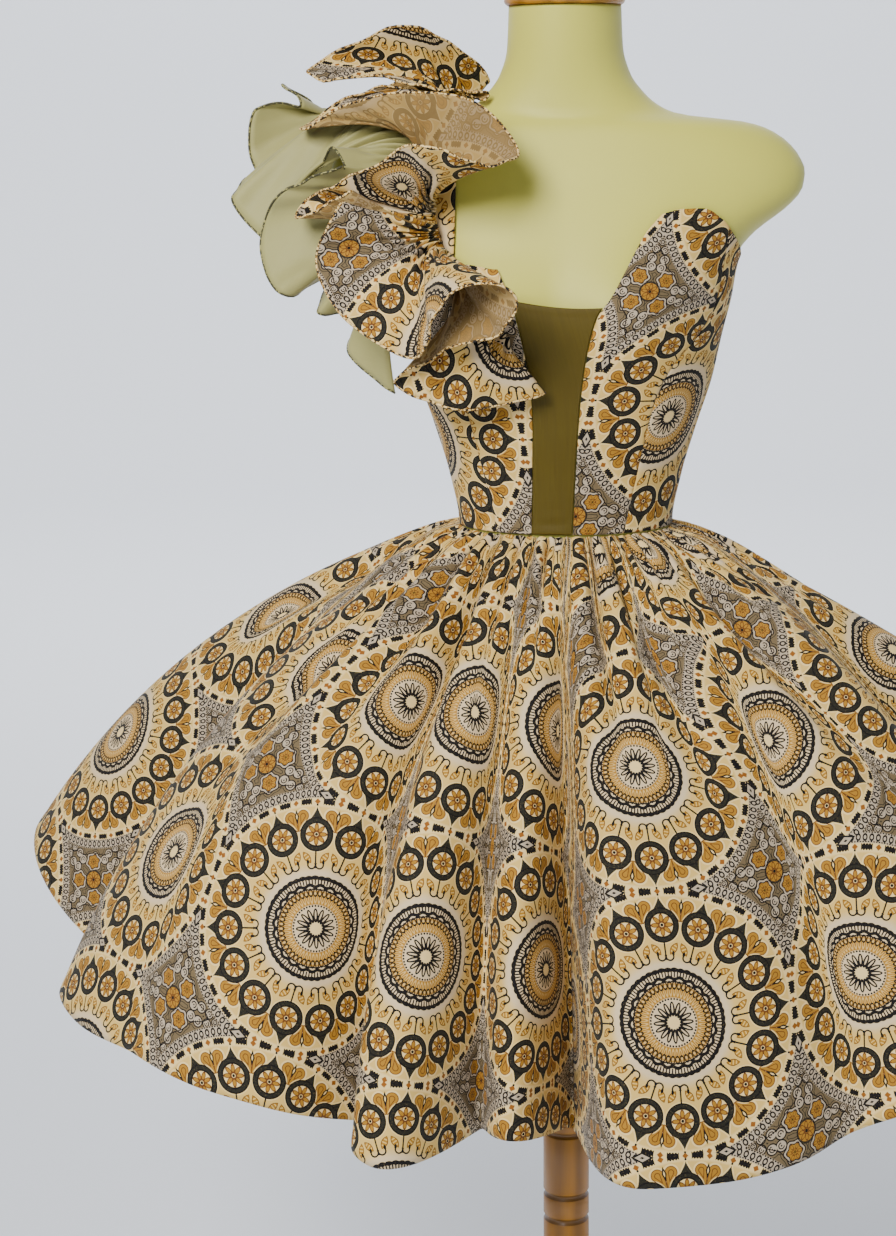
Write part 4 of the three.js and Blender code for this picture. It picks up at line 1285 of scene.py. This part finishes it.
CREASES = table(
    "turn drift deep wide start until",
    (15, 2, 9, 1.5, 0.02, 0.45),
    (25, -3, 10, 1.6, 0.03, 0.5),
    (35, 2, 6, 1.3, 0.02, 0.3),
    (62, 1, 9, 1.6, 0.03, 0.3),
    (84, -2, 8, 1.6, 0.03, 0.4),
    (-5, 1, 7, 1.4, 0.01, 0.3),
    (-19, 3, 8, 1.5, 0.02, 0.4),
    (-31, 5, 8, 1.5, 0.02, 0.35),
    (-45, 7, 9, 1.6, 0.03, 0.35),
    (-66, 4, 9, 1.6, 0.03, 0.45),
    (-76, 3, 8, 1.5, 0.03, 0.35),
    (-108, -4, 9, 1.6, 0.03, 0.45),
    (-135, 2, 9, 1.6, 0.03, 0.4),
    (-160, -2, 9, 1.6, 0.03, 0.45),
    (176, 2, 9, 1.6, 0.03, 0.45),
    (142, -3, 9, 1.6, 0.03, 0.45),
    (100, 3, 9, 1.6, 0.03, 0.4),
)
SKIRT_TOP = -1.4  # over the waist
SKIRT_PANELS = (  # name, first and last turn, flat width in metres, and where its waist corner was cut
    ("front_right", -86, 3, 1.15, (-465, 197)),
    ("front_left", 3, 108, 1.35, (-244, 252)),
    ("back_left", 108, 192, 1.15, (60, 30)),
    ("back_right", 192, 274, 1.15, (-822, 220)),
)
SKIRT_LONG = 628
SEAM_RADIUS = {"waist": 100, "hem": 400}
SKIRT_ROWS = 110
ROWS_NEARER_WAIST = 1.35  # a power that crowds the rows towards the waist
DEGREES_PER_COLUMN = 0.4
HEM_DEEP = 12
crest_reach, crest_length = reader(CRESTS, "turn", "reach"), reader(CRESTS, "turn", "length")

GATHER_STEPS = (0.55, 1.45)
GATHER_LENGTHS = (0.07, 0.22)  # as shares of the skirt's length
LONG_GATHERS, LONG_GATHER_EXTRA = 0.25, (0.05, 0.18)
GATHER_DEPTHS = (0.5, 1.5)
GATHER_WIDTHS = (0.9, 1.7)  # in degrees
GATHER_DRIFT = 4
PUFF = {"high": 4.0, "full": 0.05, "gone": 0.22}  # the cloth swells a little under the waist seam


def gather_table(count, depth):
    """Small gathers round the waist, uneven in place, depth, width and length."""
    rng = np.random.default_rng(SEED)
    steps = rng.uniform(*GATHER_STEPS, count)
    turns = np.cumsum(steps) / steps.sum() * 360 - 180
    short, is_long = rng.uniform(*GATHER_LENGTHS, count), rng.uniform(0, 1, count) > 1 - LONG_GATHERS
    long = short + is_long * rng.uniform(*LONG_GATHER_EXTRA, count)
    return {
        "turn": turns,
        "deep": depth * rng.uniform(*GATHER_DEPTHS, count) * (0.6 + 2.2 * long),
        "wide": rng.uniform(*GATHER_WIDTHS, count),
        "until": long,
        "drift": rng.uniform(-GATHER_DRIFT, GATHER_DRIFT, count) * long * 3,
    }


def bell(away, wide, power=2.0):
    return np.exp(-(np.abs(away / wide) ** power))


def tuck(away, kind):
    """How much cloth a kind of fold hides at an angle away from its middle."""
    wide, share = TUCKED[kind]
    return bell(away, wide) * share


def rows_of(columns):
    """The rows of a table, each as a dictionary."""
    for values in zip(*columns.values()):
        yield dict(zip(columns, values))


# Over how many degrees each kind of fold hides its cloth, and how much (a valley: for each millimetre deep).
TUCKED = {"valley": (1.5, 1 / 60), "pleat": (1.1, 0.6), "crease": (0.7, 0.8), "gather": (0.45, 0.6)}
VALLEY = {"full": 1.15, "opening": 0.8, "round": 1.8, "hides_from": 0.3}
PLEAT_FULL, PLEAT_CLOSES = 0.22, 0.1
CREASE_ROUND, GATHER_ROUND = 1.4, 1.6
GATHER_START, GATHER_FULL = 0.4, 0.05


def folds(turn, share):
    """How far the big folds sink the cloth, how far they lean, and where cloth is tucked away in them."""
    sunk, lean, tucked = (0 * turn * share for _ in range(3))
    for fold in rows_of(VALLEYS):
        away = wrap(turn - fold["turn"])
        opened = smooth((share - fold["start"]) / (VALLEY["full"] - fold["start"])) ** VALLEY["opening"]
        profile = bell(away, fold["wide"], VALLEY["round"]) * opened
        sunk = sunk + fold["deep"] * profile
        lean = lean + fold["lean"] * profile
        tucked = tucked + tuck(away, "valley") * lerp(VALLEY["hides_from"], 1, opened) * fold["deep"]
    for fold in rows_of(PLEATS):
        away = wrap(turn - fold["turn"] - fold["drift"] * share)
        fade = smooth(share / PLEAT_FULL) * smooth((fold["until"] - share) / (fold["until"] - PLEAT_CLOSES))
        sunk = sunk + fold["deep"] * bell(away, fold["wide"]) * fade
        tucked = tucked + tuck(away, "pleat") * smooth((fold["until"] - share) / fold["until"])
    return sunk, lean, tucked


def small_folds(turn, share, gathers):
    """The creases and gathers under the waist seam, too small for the solids."""
    sunk, tucked = (0 * turn * share for _ in range(2))
    for fold in rows_of(CREASES):
        away = wrap(turn - fold["turn"] - fold["drift"] * share)
        fade = smooth(share / fold["start"]) * (1 - smooth(share / fold["until"]))
        sunk = sunk + fold["deep"] * bell(away, fold["wide"], CREASE_ROUND) * fade
        tucked = tucked + tuck(away, "crease") * (1 - smooth(share / fold["until"]))
    for fold in rows_of(gathers):
        away = wrap(turn - fold["turn"] - fold["drift"] * share / fold["until"])
        fade = 1 - smooth(share / fold["until"])
        rise = lerp(GATHER_START, 1, smooth(share / GATHER_FULL))
        sunk = sunk + fold["deep"] * bell(away, fold["wide"], GATHER_ROUND) * fade * rise
        tucked = tucked + tuck(away, "gather") * fade
    puff = PUFF["high"] * smooth(share / PUFF["full"]) * (1 - smooth(share / PUFF["gone"]))
    return sunk - puff, tucked


def skirt_point(turn, share, sunk, lean):
    outward = points(np.sin(turn * RAD), -np.cos(turn * RAD), 0)
    start = form_point(turn, 0.0, CLOTH_OUT)
    span = outward * crest_reach(wrap(turn))[..., None] - start
    span[..., 2] = 0
    arch = SKIRT_ARCH * RAD
    run = np.linalg.norm(span, axis=-1)
    length = crest_length(wrap(turn))
    chord = length * math.sin(arch) / arch
    slope = np.arccos(run / chord)
    bend = slope - arch + 2 * arch * share
    radius = length / (2 * arch)
    out = radius * (np.sin(bend) - np.sin(slope - arch)) - sunk * np.sin(bend)
    down = radius * (np.cos(slope - arch) - np.cos(bend)) + sunk * np.cos(bend)
    point = start + span * (out / run)[..., None]
    leaning = lean * RAD
    return points(
        point[..., 0] * np.cos(leaning) - point[..., 1] * np.sin(leaning),
        point[..., 0] * np.sin(leaning) + point[..., 1] * np.cos(leaning),
        WAIST_Z + SKIRT_TOP - down,
    )


def cloth_across(turn, share, gathers):
    """Place across the cloth: true to size on the crests, and crowded into the folds further up."""
    sunk, lean, tucked = folds(turn, share)
    _, gathered = small_folds(turn, share, gathers)
    tucked = tucked + gathered
    place = skirt_point(turn + 0 * share, share + 0 * turn, sunk, lean)
    step = np.linalg.norm(np.diff(place, axis=1), axis=-1)
    weight = (tucked[:, 1:] + tucked[:, :-1]) / 2
    centres = np.sort(np.concatenate([VALLEYS["turn"], VALLEYS["turn"] + 360]))
    crests = (centres[1:] + centres[:-1]) / 2
    middle = (turn[0, 1:] + turn[0, :-1]) / 2
    interval = np.searchsorted(crests, middle)
    used = step.copy()
    for k in np.unique(interval):
        here = interval == k
        total = step[0, here].sum()
        spare = total - step[:, here].sum(axis=1)
        held = (weight[:, here] * step[:, here]).sum(axis=1)
        used[:, here] = step[:, here] * (1 + (spare / held)[:, None] * weight[:, here])
    return np.concatenate([np.zeros((len(used), 1)), np.cumsum(used, axis=1)], axis=1)


def make_skirt():
    sizes = bpy.context.scene.dress_sizes
    gathers = gather_table(sizes.gathers, sizes.gather_depth / MM)
    share = (np.linspace(1, 0, SKIRT_ROWS + 1) ** ROWS_NEARER_WAIST)[:, None]
    hem = np.flatnonzero((1 - share[:, 0]) * SKIRT_LONG < HEM_DEEP)
    for name, start, end, width, origin in SKIRT_PANELS:
        columns = round((end - start) / DEGREES_PER_COLUMN)
        half = SEAM_GAP / 2 / lerp(SEAM_RADIUS["waist"], SEAM_RADIUS["hem"], share) / RAD
        a = np.linspace(0, 1, columns + 1)[None, :]
        turn = lerp(start + half, end - half, a)
        sunk, lean, _ = folds(turn, share)
        gathered, _ = small_folds(turn, share, gathers)
        place = skirt_point(turn, share + 0 * turn, sunk + gathered, lean)
        across = cloth_across(lerp(start, end, a), share, gathers)
        down = share * crest_length(wrap(turn))
        cloth_place = np.stack([across + origin[0], origin[1] - down], axis=-1)
        piece = cloth(f"skirt_{name}_cloth", place, cloth_place, PRINTED, sizes.cloth, hem)
        carry(piece, "printed_cotton", "skirt_" + name)


# ---- The stage, in metres and degrees ---------------------------------------------------------------------
EYE = {"turn": 4, "away": 2.5, "up": 1.43, "down": 11.5, "left": 2.7134, "roll": 0.6016}
LENS, SENSOR = 73.7476, 36  # millimetres

# The floor curves up all round into a wall, farther out than any camera, so that nothing hides the part.
STAGE_FLAT = 7.0
STAGE_BEND = 1.6
STAGE_TALL = 8.0

DRESS_MIDDLE = (0, 0, 1.0)
WALL_SPOT = (-0.6, STAGE_FLAT + STAGE_BEND, 0.8)
LIGHTS = (  # name, place, size, power in watts, and what it is aimed at
    ("key", (-1.1, -2.9, 2.9), 1.5, 182, DRESS_MIDDLE),
    ("fill", (3.2, -2.4, 1.8), 2.6, 9, DRESS_MIDDLE),
    ("top", (0.2, 0.9, 3.6), 2.2, 22, DRESS_MIDDLE),
    ("backdrop", (-0.8, 3.4, 5.4), 3.0, 520, WALL_SPOT),
)
STUDIO_TINT, STUDIO_STRENGTH = (0.97, 0.98, 1.0), 0.16


def make_floor():
    bend = [(STAGE_FLAT + r, z) for r, z in arc(STAGE_BEND, 0, STAGE_BEND, -90, 0, 15)]
    profile = [(0, 0), (STAGE_FLAT / 2, 0)] + bend + [(STAGE_FLAT + STAGE_BEND, STAGE_TALL)]
    mesh = lathe("floor", [(r / MM, z / MM) for r, z in profile], 96)
    paper = {"Base Color": (*bpy.context.scene.dress_colours.floor, 1), "Roughness": 0.9}
    mesh.materials.append(new_material("backdrop paper", paper)[0])
    show("floor", mesh)


def make_lights():
    for name, at, size, power, target in LIGHTS:
        lamp = bpy.data.lights.new(name, "AREA")
        lamp.shape = "SQUARE"
        lamp.size = size
        lamp.energy = power
        light = show(name, lamp)
        light.location = at
        light.visible_camera = False
        light.rotation_euler = (Vector(target) - Vector(at)).to_track_quat("-Z", "Y").to_euler()
    world = bpy.data.worlds.new("studio")
    world.use_nodes = True
    background = world.node_tree.nodes["Background"]
    background.inputs["Color"].default_value = (*STUDIO_TINT, 1)
    background.inputs["Strength"].default_value = STUDIO_STRENGTH
    bpy.context.scene.world = world


def make_camera():
    view = bpy.data.cameras.new("camera")
    view.lens = LENS
    view.sensor_width = SENSOR
    turn, away = EYE["turn"] * RAD, EYE["away"]
    camera = show("camera", view)
    camera.location = (away * math.sin(turn), -away * math.cos(turn), EYE["up"])
    heading = Matrix.Rotation(turn + EYE["left"] * RAD, 4, "Z")
    pitch = Matrix.Rotation((90 - EYE["down"]) * RAD, 4, "X")
    roll = Matrix.Rotation(-EYE["roll"] * RAD, 4, "Z")
    camera.rotation_euler = (heading @ pitch @ roll).to_euler()
    bpy.context.scene.camera = camera


def make_stage():
    make_floor()
    make_lights()
    make_camera()


# ---- Operators, panel and registration -------------------------------------------------------------------
def operator(identifier, label, text, action):
    """An operator class for one step of the making."""
    def execute(self, context):
        action()
        return {"FINISHED"}

    members = {"bl_idname": "dress." + identifier, "bl_label": label, "__doc__": text, "execute": execute}
    return type("DRESS_OT_" + identifier, (bpy.types.Operator,), members)


OPERATORS = [
    operator("stage", "Stage", "Floor, lights and camera", make_stage),
    operator("form", "Form", "Padded body of the dress form in its jersey cover", make_form),
    operator("cap", "Neck cap", "Turned cap and knob on the neck", make_cap),
    operator("pole", "Pole", "Turned pole of the stand", make_pole),
    operator("base", "Base", "Round base of the stand", make_base),
    operator("bodice", "Bodice", "Six panels of the bodice", make_bodice),
    operator("net", "Net", "Net in the plunge", make_net),
    operator("strap", "Strap", "Strap over the shoulder", make_strap),
    operator("ruffles", "Ruffles", "Printed and plain ruffles", make_ruffles),
    operator("skirt", "Skirt", "Four gathered panels of the skirt", make_skirt),
]


class DRESS_PT_panel(bpy.types.Panel):
    """Lists the steps of the making, in order."""

    bl_idname = "DRESS_PT_panel"
    bl_label = "Shweshwe dress"
    bl_space_type = "VIEW_3D"
    bl_region_type = "UI"
    bl_category = "Dress"

    def draw(self, context):
        for made in OPERATORS:
            self.layout.operator(made.bl_idname)
        for group in (context.scene.dress_sizes, context.scene.dress_colours):
            for name in group.bl_rna.properties.keys():
                if name not in ("rna_type", "name"):
                    self.layout.prop(group, name)


CLASSES = [DressSizes, DressColours, *OPERATORS, DRESS_PT_panel]


def register():
    for made in CLASSES:
        bpy.utils.register_class(made)
    bpy.types.Scene.dress_sizes = PointerProperty(type=DressSizes)
    bpy.types.Scene.dress_colours = PointerProperty(type=DressColours)


def unregister():
    del bpy.types.Scene.dress_sizes
    del bpy.types.Scene.dress_colours
    for made in reversed(CLASSES):
        bpy.utils.unregister_class(made)


def main():
    register()
    for made in OPERATORS:
        step = made.bl_idname.split(".")[1]
        getattr(bpy.ops.dress, step)()


if __name__ == "__main__":
    main()
